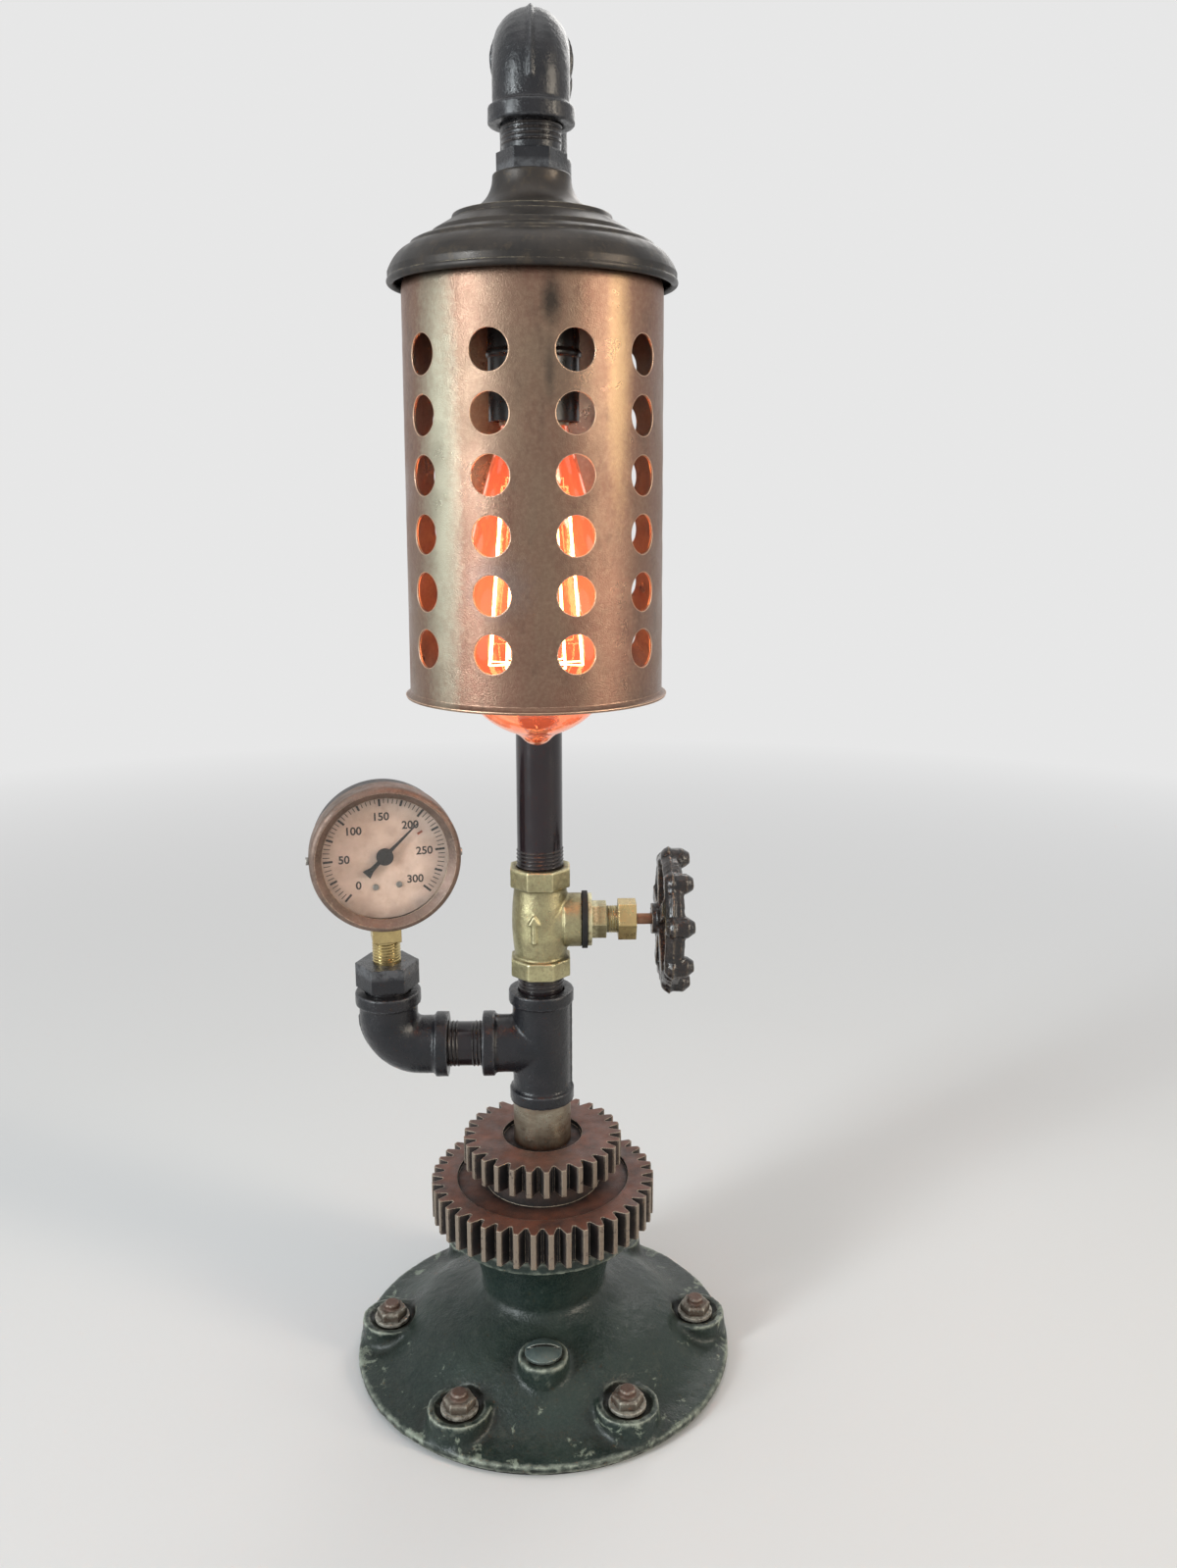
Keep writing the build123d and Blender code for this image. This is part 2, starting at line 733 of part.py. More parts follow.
with BuildPart() as valve_body:
    with BuildSketch(Plane.XZ):
        with BuildLine():
            Polyline((0, valve_bottom), (valve_waist_radius, valve_bottom),
                     (valve_waist_radius, valve_bottom + valve_end_bottom))
            ThreePointArc((valve_waist_radius, valve_bottom + valve_end_bottom),
                          (valve_belly_radius, stem_z),
                          (valve_waist_radius, valve_top - valve_end_top))
            Polyline((valve_waist_radius, valve_top - valve_end_top), (valve_waist_radius, valve_top),
                     (0, valve_top), (0, valve_bottom))
        make_face()
    revolve(axis=Axis.Z)
    with BuildSketch(level(valve_bottom)):
        RegularPolygon(valve_end_flats / 2, 8, major_radius=False, rotation=22.5)
    extrude(amount=valve_end_bottom)
    with BuildSketch(level(valve_top - valve_end_top)):
        RegularPolygon(valve_end_flats / 2, 8, major_radius=False, rotation=22.5)
    extrude(amount=valve_end_top)
    with BuildSketch(stem_section):
        with BuildLine():
            Polyline((0, 0), (0, side_neck_radius - side_root_flare),
                     (side_neck_root, side_neck_radius - side_root_flare), (side_neck_root, side_neck_radius),
                     (side_neck_end, side_neck_radius), (side_neck_end, 0), (0, 0))
        make_face()
    revolve(axis=stem_axis)
    for mouth, direction in ((valve_bottom, 1), (valve_top, -1)):
        with BuildSketch(level(mouth)):
            Circle(pipe_radius + thread_gap)
        extrude(amount=direction * valve_socket_depth, mode=Mode.SUBTRACT)
    with BuildSketch(level(valve_bottom)):
        Circle(valve_bore / 2)
    extrude(amount=valve_length, mode=Mode.SUBTRACT)
    with BuildSketch(Plane(origin=(0, 0, stem_z), z_dir=(1, 0, 0))):
        Circle(seat_bore / 2)
    extrude(amount=side_neck_end, mode=Mode.SUBTRACT)
    with BuildSketch(Plane(origin=(seat_x, 0, stem_z), z_dir=(1, 0, 0))):
        Circle(neck_bore / 2)
    extrude(amount=side_neck_end - seat_x, mode=Mode.SUBTRACT)
save(valve_body.part, "valve_body")


def turned(points):
    """A solid turned about the stem's axis from (distance from the column, radius) points."""
    with BuildSketch(stem_section) as profile:
        with BuildLine():
            Polyline(*points, points[0])
        make_face()
    revolve(profile.sketch, axis=stem_axis)


def across(x):
    """A plane square to the stem, at a distance from the column."""
    return Plane(origin=(x, 0, stem_z), x_dir=(0, 1, 0), z_dir=(1, 0, 0))


spigot_radius = neck_bore / 2 - thread_gap
with BuildPart() as bonnet_gasket:
    tube(across(side_neck_end), gasket_radius, neck_bore / 2, gasket_thickness)
save(bonnet_gasket.part, "bonnet_gasket")

stem_bore = stem_thread_diameter / 2 + running_gap
with BuildPart() as valve_bonnet:
    hexagon(across(collar_end), bonnet_hex_flats, bonnet_hex, stem_bore)
    turned(((spigot_start, bonnet_chamber / 2), (spigot_start, spigot_radius), (gasket_end, spigot_radius),
            (gasket_end, bonnet_collar_radius), (collar_end, bonnet_collar_radius), (collar_end, stem_bore),
            (chamber_end, stem_bore), (chamber_end, bonnet_chamber / 2)))
    turned(((hex_end, stem_bore), (hex_end, bonnet_thread / 2), (bonnet_end, bonnet_thread / 2),
            (bonnet_end, packing_bore / 2), (bonnet_end - packing_depth, packing_bore / 2),
            (bonnet_end - packing_depth, stem_bore)))
    with BuildSketch(across(bonnet_end - packing_depth)):
        Circle(packing_bore / 2)
    extrude(amount=packing_depth, mode=Mode.SUBTRACT)
save(valve_bonnet.part, "valve_bonnet")

stem_hole = stem_diameter / 2 + running_gap
with BuildPart() as packing_ring:
    tube(across(bonnet_end - packing_length), packing_bore / 2 - thread_gap, stem_hole, packing_length)
save(packing_ring.part, "packing_ring")

with BuildPart() as packing_nut:
    hexagon(across(nut_start), packing_nut_flats, packing_nut_length, stem_hole)
    with BuildSketch(across(nut_start)):
        Circle(bonnet_thread / 2 + thread_gap)
    extrude(amount=packing_nut_length - packing_nut_lip, mode=Mode.SUBTRACT)
save(packing_nut.part, "packing_nut")

tip_start = disc_back + disc_thickness + disc_hub - stem_tip
thread_start = disc_back + disc_thickness + disc_hub + seat_gap
thread_end = thread_start + stem_thread_length
with BuildPart() as valve_disc:
    turned(((disc_back, 0), (disc_back, disc_radius), (disc_back + disc_thickness, disc_radius),
            (disc_back + disc_thickness, disc_hub_radius),
            (disc_back + disc_thickness + disc_hub, disc_hub_radius),
            (disc_back + disc_thickness + disc_hub, stem_tip_radius + running_gap),
            (tip_start - seat_gap, stem_tip_radius + running_gap), (tip_start - seat_gap, 0)))
save(valve_disc.part, "valve_disc")

wheel_hub_end = wheel_back + wheel_hub_length
stem_end = wheel_hub_end + wheel_nut_thickness + stem_end_exposed
with BuildPart() as valve_stem:
    turned(((tip_start, 0), (tip_start, stem_tip_radius), (thread_start, stem_tip_radius),
            (thread_start, stem_thread_diameter / 2), (thread_end, stem_thread_diameter / 2),
            (thread_end, stem_diameter / 2), (wheel_hub_end, stem_diameter / 2),
            (wheel_hub_end, stem_end_diameter / 2), (stem_end, stem_end_diameter / 2), (stem_end, 0)))
save(valve_stem.part, "valve_stem")

lobe_circle = wheel_radius - lobe_radius
with BuildPart() as handwheel:
    with BuildSketch(across(wheel_back + rim_back)):
        with PolarLocations(lobe_circle, lobe_count, start_angle=lobe_turn):
            Circle(lobe_radius)
    extrude(amount=lobe_depth)
    chamfer(handwheel.faces().group_by(Axis.X)[-1].edges(), lobe_round, lobe_round * 0.7)
    chamfer(handwheel.faces().group_by(Axis.X)[0].edges(), rim_edge)
    rim_start = wheel_back + rim_back
    turned(((rim_start, rim_inner_radius + rim_edge), (rim_start, rim_outer_radius - rim_edge),
            (rim_start + rim_edge, rim_outer_radius), (rim_start + rim_depth - rim_edge, rim_outer_radius),
            (rim_start + rim_depth, rim_outer_radius - rim_edge),
            (rim_start + rim_depth, rim_inner_radius + rim_edge),
            (rim_start + rim_depth - rim_edge, rim_inner_radius), (rim_start + rim_edge, rim_inner_radius)))
    with BuildSketch(across(wheel_back)):
        Circle(wheel_hub_radius)
    extrude(amount=wheel_hub_length)
    with BuildSketch(across(wheel_back + spoke_back)):
        with PolarLocations(rim_inner_radius / 2 + rim_edge, wheel_spokes, start_angle=spoke_turn):
            Rectangle(rim_inner_radius, spoke_width)
    extrude(amount=spoke_thickness)
    with BuildSketch(across(wheel_back)):
        Circle(stem_diameter / 2)
    extrude(amount=wheel_hub_length, mode=Mode.SUBTRACT)
save(handwheel.part, "handwheel")

with BuildPart() as wheel_nut:
    hexagon(across(wheel_hub_end), wheel_nut_flats, wheel_nut_thickness, stem_end_diameter / 2 + thread_gap)
save(wheel_nut.part, "wheel_nut")

# ==== Gauge stem

bushing_bottom = tee_top + bushing_gap
bushing_top = bushing_bottom + bushing_hex
with BuildPart() as gauge_bushing:
    hexagon(level(bushing_bottom, gauge_x), bushing_flats, bushing_hex, gauge_thread / 2 + thread_gap,
            bushing_turn)
    tube(level(tee_top - engagement, gauge_x), pipe_radius, gauge_thread / 2 + thread_gap,
         engagement + bushing_gap)
save(gauge_bushing.part, "gauge_bushing")

gauge_front = Vector(sin(radians(gauge_yaw)), -cos(radians(gauge_yaw)), 0)
gauge_right = Vector(cos(radians(gauge_yaw)), sin(radians(gauge_yaw)), 0)
gauge_middle = Vector(gauge_x, 0, gauge_z)
gauge_axis = Axis(gauge_middle, gauge_front)
gauge_section = Plane(origin=gauge_middle, x_dir=gauge_right, z_dir=(0, 0, -1))
block_bottom = bushing_top + gauge_thread_exposed
tube_radius = case_radius - case_wall - tube_inset
tube_start = 270 - degrees(asin((gauge_block / 2 + seat_gap) / (tube_radius - tube_thickness / 2)))
tube_out = gauge_right * cos(radians(tube_start)) + Vector(0, 0, sin(radians(tube_start)))
tube_section = Plane(origin=gauge_middle, x_dir=tube_out, z_dir=tube_out.cross(gauge_front))


def face(forward, across_x=0, up=0):
    """A plane that looks out of the dial, forward of the stem's axis."""
    origin = gauge_middle + gauge_front * forward + gauge_right * across_x + Vector(0, 0, up)
    return Plane(origin=origin, x_dir=gauge_right, z_dir=gauge_front)


with BuildPart() as gauge_socket:
    disc(level(bushing_top - gauge_thread_hidden, gauge_x), gauge_thread / 2,
         gauge_thread_hidden + gauge_thread_exposed)
    block_plane = Plane(origin=(gauge_x, 0, block_bottom), x_dir=gauge_right, z_dir=(0, 0, 1))
    with BuildSketch(block_plane):
        Rectangle(gauge_block, gauge_block)
    extrude(amount=gauge_block_exposed + gauge_block_inside)
    with BuildSketch(tube_section):
        with Locations((tube_radius, -tube_back)):
            Ellipse(tube_thickness / 2, tube_width / 2)
    revolve(axis=gauge_axis, revolution_arc=tube_shoe)
    disc(level(bushing_top - gauge_thread_hidden, gauge_x), gauge_port / 2,
         gauge_thread_hidden + gauge_thread_exposed + gauge_block_exposed, Mode.SUBTRACT)
save(gauge_socket.part, "gauge_socket")

# ==== Gauge case, glass and dial

with BuildPart() as gauge_case:
    with BuildSketch(gauge_section):
        with BuildLine():
            back = Line((0, -case_back), (case_radius - case_round, -case_back))
            corner = TangentArc(back @ 1, (case_radius, case_round - case_back), tangent=back % 1)
            Line(corner @ 1, (case_radius, case_front))
            offset(amount=case_wall, side=Side.LEFT)
        make_face()
    revolve(axis=gauge_axis)
    with BuildSketch(block_plane.offset(gauge_block_exposed - notch_gap)):
        Rectangle(gauge_block + 2 * notch_gap, gauge_block + 2 * notch_gap)
    extrude(amount=gauge_block_inside, mode=Mode.SUBTRACT)
save(gauge_case.part, "gauge_case")

lens_front = case_front + lens_thickness
with BuildPart() as gauge_lens:
    disc(face(case_front), case_radius - lens_rim_inset, lens_thickness)
save(gauge_lens.part, "gauge_lens")

bezel_bore = case_radius + bezel_fit
bezel_radius = bezel_bore + bezel_wall
bezel_window = case_radius - bezel_lap
bezel_crown = bezel_radius - bezel_crown_inset
with BuildPart() as gauge_bezel:
    with BuildSketch(gauge_section):
        with BuildLine():
            Polyline((bezel_bore, lens_front), (bezel_bore, case_front - bezel_skirt),
                     (bezel_radius, case_front - bezel_skirt), (bezel_radius, lens_front))
            ThreePointArc((bezel_radius, lens_front),
                          (bezel_radius - 0.3 * bezel_crown_inset, lens_front + 0.75 * bezel_nose),
                          (bezel_crown, lens_front + bezel_nose))
            Polyline((bezel_crown, lens_front + bezel_nose), (bezel_window, lens_front),
                     (bezel_bore, lens_front))
        make_face()
    revolve(axis=gauge_axis)
save(gauge_bezel.part, "gauge_bezel")

with BuildPart() as bezel_screws:
    for side in (-1, 1):
        screw_seat = face(case_front - bezel_skirt / 2, side * bezel_radius).origin
        disc(Plane(origin=screw_seat, z_dir=gauge_right * side), bezel_screw_radius, bezel_screw_height)
save(bezel_screws.part, "bezel_screws")

front_plate = plate_back + plate_thickness + plate_gap
dial_back = front_plate + plate_thickness
dial_face = dial_back + dial_plate
dial_screw_places = [Location(Vector(side * dial_screw_spread, -dial_screw_drop).rotate(Axis.Z, dial_roll))
                     for side in (-1, 1)]
dial_radius = case_radius - case_wall - dial_gap
with BuildPart() as gauge_dial:
    with BuildSketch(face(dial_back)):
        Circle(dial_radius)
        Circle(arbor_diameter / 2 + slip_gap, mode=Mode.SUBTRACT)
        with Locations(dial_screw_places):
            Circle(dial_screw_radius / 2 + thread_gap, mode=Mode.SUBTRACT)
    extrude(amount=dial_plate)
save(gauge_dial.part, "gauge_dial")

with BuildPart() as dial_screws:
    with BuildSketch(face(dial_face)):
        with Locations(dial_screw_places):
            Circle(dial_screw_radius)
    extrude(amount=dial_screw_height)
    with BuildSketch(face(front_plate)):
        with Locations(dial_screw_places):
            Circle(dial_screw_radius / 2)
    extrude(amount=plate_thickness + dial_plate)
save(dial_screws.part, "dial_screws")

# ==== Gauge movement

centre_distance = movement_module * (pinion_teeth + sector_teeth) / 2
plate_bottom = gauge_block_inside - case_radius
plate_side = plate_width / 2
pillar_side = plate_side - plate_edge
pillars = ((-pillar_side, plate_top - plate_edge), (pillar_side, plate_top - plate_edge),
           (-pillar_side, -centre_distance))

with BuildPart() as movement_frame:
    for start in (plate_back, front_plate):
        with BuildSketch(face(start)):
            Polygon((-plate_side, plate_top), (-plate_side, plate_bottom + plate_corner),
                    (plate_corner - plate_side, plate_bottom), (plate_side - plate_corner, plate_bottom),
                    (plate_side, plate_bottom + plate_corner), (plate_side, plate_top), align=None)
        extrude(amount=plate_thickness)
    with BuildSketch(face(plate_back)):
        with Locations(*pillars):
            Circle(pillar_radius)
    extrude(amount=front_plate - plate_back)
    with BuildSketch(face(plate_back)):
        Circle(arbor_diameter / 2 + running_gap)
        with Locations((0, -centre_distance)):
            Circle(sector_pin_diameter / 2 + running_gap)
    extrude(amount=dial_back - plate_back, mode=Mode.SUBTRACT)
    with BuildSketch(face(front_plate)):
        with Locations(dial_screw_places):
            Circle(dial_screw_radius / 2 + thread_gap)
    extrude(amount=plate_thickness, mode=Mode.SUBTRACT)
save(movement_frame.part, "movement_frame")

needle_back = dial_face + needle_lift
sector_back = (plate_back + dial_back - sector_thickness) / 2
pinion_back = sector_back - (pinion_length - sector_thickness) / 2

with BuildPart() as needle_arbor:
    disc(face(plate_back), arbor_diameter / 2, needle_back - plate_back)
    with BuildSketch(face(pinion_back)):
        Circle(movement_module * (pinion_teeth / 2 - 1.25))
        teeth(pinion_teeth, movement_module, [k + 0.5 for k in range(pinion_teeth)], movement_tooth_share)
    extrude(amount=pinion_length)
save(needle_arbor.part, "needle_arbor")

sector_root = movement_module * (sector_teeth / 2 - 1.25)
sector_step = 360 / sector_teeth
with BuildPart() as sector_gear:
    disc(face(plate_back, up=-centre_distance), sector_pin_diameter / 2, dial_back - plate_back)
    with BuildSketch(face(sector_back, up=-centre_distance)):
        with BuildLine():
            web_left = PolarLine((0, 0), sector_root, 90 + (sector_last + 0.5) * sector_step)
            web_right = PolarLine((0, 0), sector_root, 90 + (sector_first - 0.5) * sector_step)
            ThreePointArc(web_left @ 1, Vector(0, sector_root), web_right @ 1)
        make_face()
        teeth(sector_teeth, movement_module,
              [k + sector_teeth / 4 for k in range(sector_first, sector_last + 1)], movement_tooth_share)
        Circle(sector_pin_diameter)
        with Locations(Location((0, 0, 0), (0, 0, 1), sector_tail_angle)):
            with Locations((sector_tail / 2, 0)):
                Rectangle(sector_tail, sector_tail_width)
        with Locations(Vector(sector_tail, 0).rotate(Axis.Z, sector_tail_angle)):
            Circle(sector_tail_width / 2)
    extrude(amount=sector_thickness)
save(sector_gear.part, "sector_gear")

tube_finish = Vector(tube_radius, 0).rotate(Axis.Z, tube_start - tube_sweep)
tube_tip_length = tube_width + 2 * tube_tip_over
with BuildPart() as bourdon_tube:
    with BuildSketch(tube_section):
        with Locations((tube_radius, -tube_back)):
            Ellipse(tube_thickness / 2, tube_width / 2)
            Ellipse(tube_thickness / 2 - tube_wall, tube_width / 2 - tube_wall, mode=Mode.SUBTRACT)
    revolve(axis=Axis(gauge_middle, -gauge_front), revolution_arc=tube_sweep)
    tip_back = -tube_back - tube_tip_length / 2
    disc(face(tip_back, tube_finish.X, tube_finish.Y), tube_tip_radius, tube_tip_length)
save(bourdon_tube.part, "bourdon_tube")

link_back = tube_tip_length / 2 - tube_back
tail_end = Vector(sector_tail, 0).rotate(Axis.Z, sector_tail_angle) - Vector(0, centre_distance)
link_run = tail_end - tube_finish
link_turn = Vector(1, 0).get_signed_angle(link_run)
with BuildPart() as movement_link:
    with BuildSketch(face(link_back)):
        with Locations(Location((tube_finish + tail_end) * 0.5, (0, 0, 1), link_turn)):
            SlotCenterToCenter(link_run.length, link_width)
    extrude(amount=link_thickness)
save(movement_link.part, "movement_link")

needle_length = dial_radius - needle_short
needle_flare = -0.7 * needle_tail
with BuildPart() as gauge_needle:
    with BuildSketch(face(needle_back)):
        with Locations(Location((0, 0, 0), (0, 0, 1), 90 - needle_reading + dial_roll)):
            Polygon((0, -needle_root_width / 2), (needle_length, -needle_point_width / 2),
                    (needle_length, needle_point_width / 2), (0, needle_root_width / 2), align=None)
            Polygon((0, -needle_tail_root / 2), (0, needle_tail_root / 2),
                    (needle_flare, needle_tail_neck / 2), (-needle_tail, needle_tail_width / 2),
                    (-needle_tail, -needle_tail_width / 2), (needle_flare, -needle_tail_neck / 2), align=None)
    extrude(amount=needle_thickness)
    disc(face(needle_back), needle_hub_radius, needle_hub_height)
save(gauge_needle.part, "gauge_needle")

# ==== Top bushing, tube, cap and shade

tube_hole = lamp_tube_od / 2 + thread_gap
tube_top = top_hex_bottom + lamp_tube_top
with BuildPart() as top_bushing:
    hexagon(level(top_hex_bottom, y=-arm_reach), top_bushing_flats, top_bushing_hex, tube_hole)
    tube(level(top_hex_top, y=-arm_reach), pipe_radius, tube_hole, bushing_thread_exposed + engagement)
save(top_bushing.part, "top_bushing")

tube_bottom = socket_top - lamp_tube_socket
with BuildPart() as lamp_tube:
    tube(level(tube_bottom, y=-arm_reach), lamp_tube_od / 2, lamp_tube_bore / 2, tube_top - tube_bottom)
save(lamp_tube.part, "lamp_tube")

nut_bottoms = (cap_top - cap_wall - tube_nut_thickness, shade_top,
               shade_top - shade_wall - tube_nut_thickness)
with BuildPart() as tube_nuts:
    for nut_bottom in nut_bottoms:
        hexagon(level(nut_bottom, y=-arm_reach), tube_nut_flats, tube_nut_thickness, tube_hole)
save(tube_nuts.part, "tube_nuts")

cap_rim = cap_radius - cap_bead_radius * 0.3
cap_shelf = (cap_neck_radius + cap_neck_flare, cap_top - cap_neck_drop)
cap_brow = (cap_step_radius + cap_step / 2, cap_top - cap_step_drop - cap_step)
cap_hem = (cap_hem_radius, cap_top - cap_hem_drop)
cap_skirt = (cap_hem_radius + cap_hem_step / 2, cap_top - cap_hem_drop - cap_hem_step)
with BuildPart() as shade_cap:
    with BuildSketch(shade_section):
        with BuildLine():
            Line((tube_hole, cap_top), (cap_neck_radius - cap_edge, cap_top))
            RadiusArc((cap_neck_radius - cap_edge, cap_top), (cap_neck_radius, cap_top - cap_edge), cap_edge)
            TangentArc((cap_neck_radius, cap_top - cap_edge), cap_shelf, tangent=(0, -1))
            Polyline(cap_shelf, (cap_shelf_radius, cap_top - cap_shelf_drop),
                     (cap_shelf_radius + cap_step / 3, cap_top - cap_shelf_drop - cap_step),
                     (cap_step_radius, cap_top - cap_step_drop), cap_brow)
            ThreePointArc(cap_brow, (cap_brow_middle, cap_top - cap_brow_middle_drop), cap_hem)
            Line(cap_hem, cap_skirt)
            skirt = ThreePointArc(cap_skirt, (cap_skirt_middle, cap_top - cap_skirt_middle_drop),
                                  (cap_skirt_radius, cap_top - cap_skirt_drop))
            side = TangentArc(skirt @ 1, (cap_rim, cap_top - cap_height + cap_side), tangent=skirt % 1)
            Line(side @ 1, (cap_rim, cap_top - cap_height + cap_bead_radius))
            offset(amount=-cap_wall, side=Side.RIGHT)
        make_face()
        with Locations((cap_radius - cap_bead_radius, cap_top - cap_height + cap_bead_radius)):
            Circle(cap_bead_radius)
    revolve(axis=shade_axis)
save(shade_cap.part, "shade_cap")

lip_start = shade_bottom + shade_lip_height
with BuildPart() as shade:
    with BuildSketch(shade_section):
        with BuildLine():
            Line((tube_hole, shade_top), (shade_top_radius - shade_shoulder, shade_top))
            RadiusArc((shade_top_radius - shade_shoulder, shade_top),
                      (shade_top_radius, shade_top - shade_shoulder), shade_shoulder)
            Line((shade_top_radius, shade_top - shade_shoulder), (shade_bottom_radius, lip_start))
            RadiusArc((shade_bottom_radius, lip_start), (shade_lip_radius, shade_bottom + shade_wall / 2), -3)
            offset(amount=-shade_wall, side=Side.RIGHT)
        make_face()
    revolve(axis=shade_axis)
    for column in (*shade_columns, 180.0, *(-column for column in shade_columns)):
        turn = radians(column - 90)
        outward = Vector(cos(turn), sin(turn), 0)
        for row in range(shade_rows):
            row_z = shade_top - shade_first_row - row * shade_row_pitch
            disc(Plane(origin=(0, -arm_reach, row_z), x_dir=(0, 0, 1), z_dir=outward), shade_hole / 2,
                 2 * shade_lip_radius, Mode.SUBTRACT)
save(shade.part, "shade")

# ==== Lamp socket

socket_cap_bottom = socket_top - socket_cap_height
shell_bore = socket_radius - socket_wall
with BuildPart() as socket_cap:
    with BuildSketch(shade_section):
        with BuildLine():
            Polyline((tube_hole, socket_top), (socket_hub_radius, socket_top),
                     (socket_hub_radius, socket_top - socket_hub_height))
            ThreePointArc((socket_hub_radius, socket_top - socket_hub_height),
                          (socket_radius * 0.84, socket_top - socket_hub_height - socket_dome),
                          (socket_radius, socket_cap_bottom))
            Polyline((socket_radius, socket_cap_bottom), (shell_bore, socket_cap_bottom))
            ThreePointArc((shell_bore, socket_cap_bottom),
                          (socket_radius * 0.74, socket_top - socket_hub_height - socket_dome - socket_wall),
                          (tube_hole, socket_top - socket_hub_height - socket_wall))
            Line((tube_hole, socket_top - socket_hub_height - socket_wall), (tube_hole, socket_top))
        make_face()
    revolve(axis=shade_axis)
save(socket_cap.part, "socket_cap")

bead_z = socket_mouth + socket_bead_height
with BuildPart() as socket_shell:
    with BuildSketch(shade_section):
        with BuildLine():
            Polyline((shell_bore, socket_mouth), (socket_radius, socket_mouth),
                     (socket_radius, bead_z - 2 * socket_bead))
            ThreePointArc((socket_radius, bead_z - 2 * socket_bead), (socket_radius + socket_bead, bead_z),
                          (socket_radius, bead_z + 2 * socket_bead))
            Polyline((socket_radius, bead_z + 2 * socket_bead), (socket_radius, socket_cap_bottom),
                     (shell_bore, socket_cap_bottom), (shell_bore, socket_mouth))
        make_face()
    revolve(axis=shade_axis)
save(socket_shell.part, "socket_shell")

liner_outer = shell_bore - thread_gap
screw_shell_bottom = insulator_bottom - screw_shell_length
with BuildPart() as socket_liner:
    tube(level(screw_shell_bottom, y=-arm_reach), liner_outer, liner_outer - liner_wall,
         screw_shell_length + insulator_thickness)
save(socket_liner.part, "socket_liner")

with BuildPart() as socket_insulator:
    tube(level(insulator_bottom, y=-arm_reach), liner_outer - liner_wall - thread_gap, lamp_tube_od / 4,
         insulator_thickness)
save(socket_insulator.part, "socket_insulator")

with BuildPart() as screw_shell:
    tube(level(screw_shell_bottom, y=-arm_reach), screw_shell_radius, screw_shell_radius - screw_shell_wall,
         screw_shell_length)
save(screw_shell.part, "screw_shell")

contact_side = contact_width / 2
with BuildPart() as centre_contact:
    with BuildSketch(Plane.XZ.offset(arm_reach - contact_side)):
        with BuildLine():
            Polyline((-contact_side, insulator_bottom), (contact_side, insulator_bottom),
                     (contact_side, insulator_bottom - contact_thickness),
                     (2 * contact_thickness - contact_side, insulator_bottom - contact_thickness),
                     (contact_side / 2, insulator_bottom - contact_drop + contact_thickness),
                     (contact_side / 2, insulator_bottom - contact_drop),
                     (-contact_side / 4, insulator_bottom - contact_drop),
                     (-contact_side, insulator_bottom - 1.5 * contact_thickness),
                     (-contact_side, insulator_bottom))
        make_face()
    extrude(amount=contact_width)
save(centre_contact.part, "centre_contact")

# ==== Bulb

bulb_top = bulb_tip + bulb_length
glass_top = bulb_tip + bulb_glass_length
base_top = bulb_top - bulb_button_height
shoulder_z = base_top - bulb_base_cone
shell_under = shoulder_z - bulb_base_wall
base_skirt = shoulder_z - bulb_base_height
with BuildPart() as bulb_glass:
    with BuildSketch(shade_section):
        with BuildLine():
            nipple = TangentArc((0, bulb_tip), (bulb_nipple_radius, bulb_tip + bulb_nipple), tangent=(1, 0))
            flare = TangentArc(nipple @ 1, (bulb_nipple_flare_radius, bulb_tip + bulb_nipple_flare),
                               tangent=nipple % 1)
            nose = TangentArc(flare @ 1, (bulb_nose_radius, bulb_tip + bulb_nose), tangent=flare % 1)
            belly = TangentArc(nose @ 1, (bulb_radius, bulb_tip + bulb_widest), tangent=nose % 1)
            waist = TangentArc(belly @ 1, (bulb_waist_radius, bulb_tip + bulb_waist), tangent=belly % 1)
            neck = TangentArc(waist @ 1, (bulb_neck_radius, base_skirt - bulb_glass_wall), tangent=waist % 1)
            Line(neck @ 1, (bulb_neck_radius, glass_top))
            offset(amount=bulb_glass_wall, side=Side.LEFT)
        make_face()
    revolve(axis=shade_axis)
save(bulb_glass.part, "bulb_glass")

with BuildPart() as bulb_base:
    base_bore = bulb_base_radius - bulb_base_wall
    with BuildSketch(shade_section):
        with BuildLine():
            Polyline((base_bore, base_skirt), (bulb_base_radius, base_skirt), (bulb_base_radius, shoulder_z),
                     (bulb_insulator_radius, shoulder_z), (bulb_insulator_radius, shell_under),
                     (base_bore, shell_under), (base_bore, base_skirt))
        make_face()
    revolve(axis=shade_axis)
save(bulb_base.part, "bulb_base")

with BuildPart() as bulb_insulator:
    with BuildSketch(shade_section):
        with BuildLine():
            Polyline((0, shell_under), (bulb_insulator_radius, shell_under),
                     (bulb_insulator_radius, shoulder_z), (bulb_button_radius, base_top), (0, base_top),
                     (0, shell_under))
        make_face()
    revolve(axis=shade_axis)
save(bulb_insulator.part, "bulb_insulator")

with BuildPart() as bulb_button:
    disc(level(base_top, y=-arm_reach), bulb_button_radius, bulb_button_height)
save(bulb_button.part, "bulb_button")

ring_low = bulb_tip + mount_end + mount_rod_radius
ring_high = ring_low + filament_length
mount_outer = bulb_neck_radius - bulb_glass_wall - thread_gap
filament_turns = [radians(18 + k * 360 / filament_count) for k in range(filament_count)]
with BuildPart() as bulb_mount:
    with BuildSketch(shade_section):
        with BuildLine():
            Polyline((0, bulb_tip + mount_end), (mount_rod_radius, bulb_tip + mount_end),
                     (mount_rod_radius, ring_high + mount_rod_radius),
                     (mount_radius, ring_high + mount_radius), (mount_outer, glass_top - mount_lip),
                     (mount_outer, glass_top), (0, glass_top), (0, bulb_tip + mount_end))
        make_face()
    revolve(axis=shade_axis)
save(bulb_mount.part, "bulb_mount")

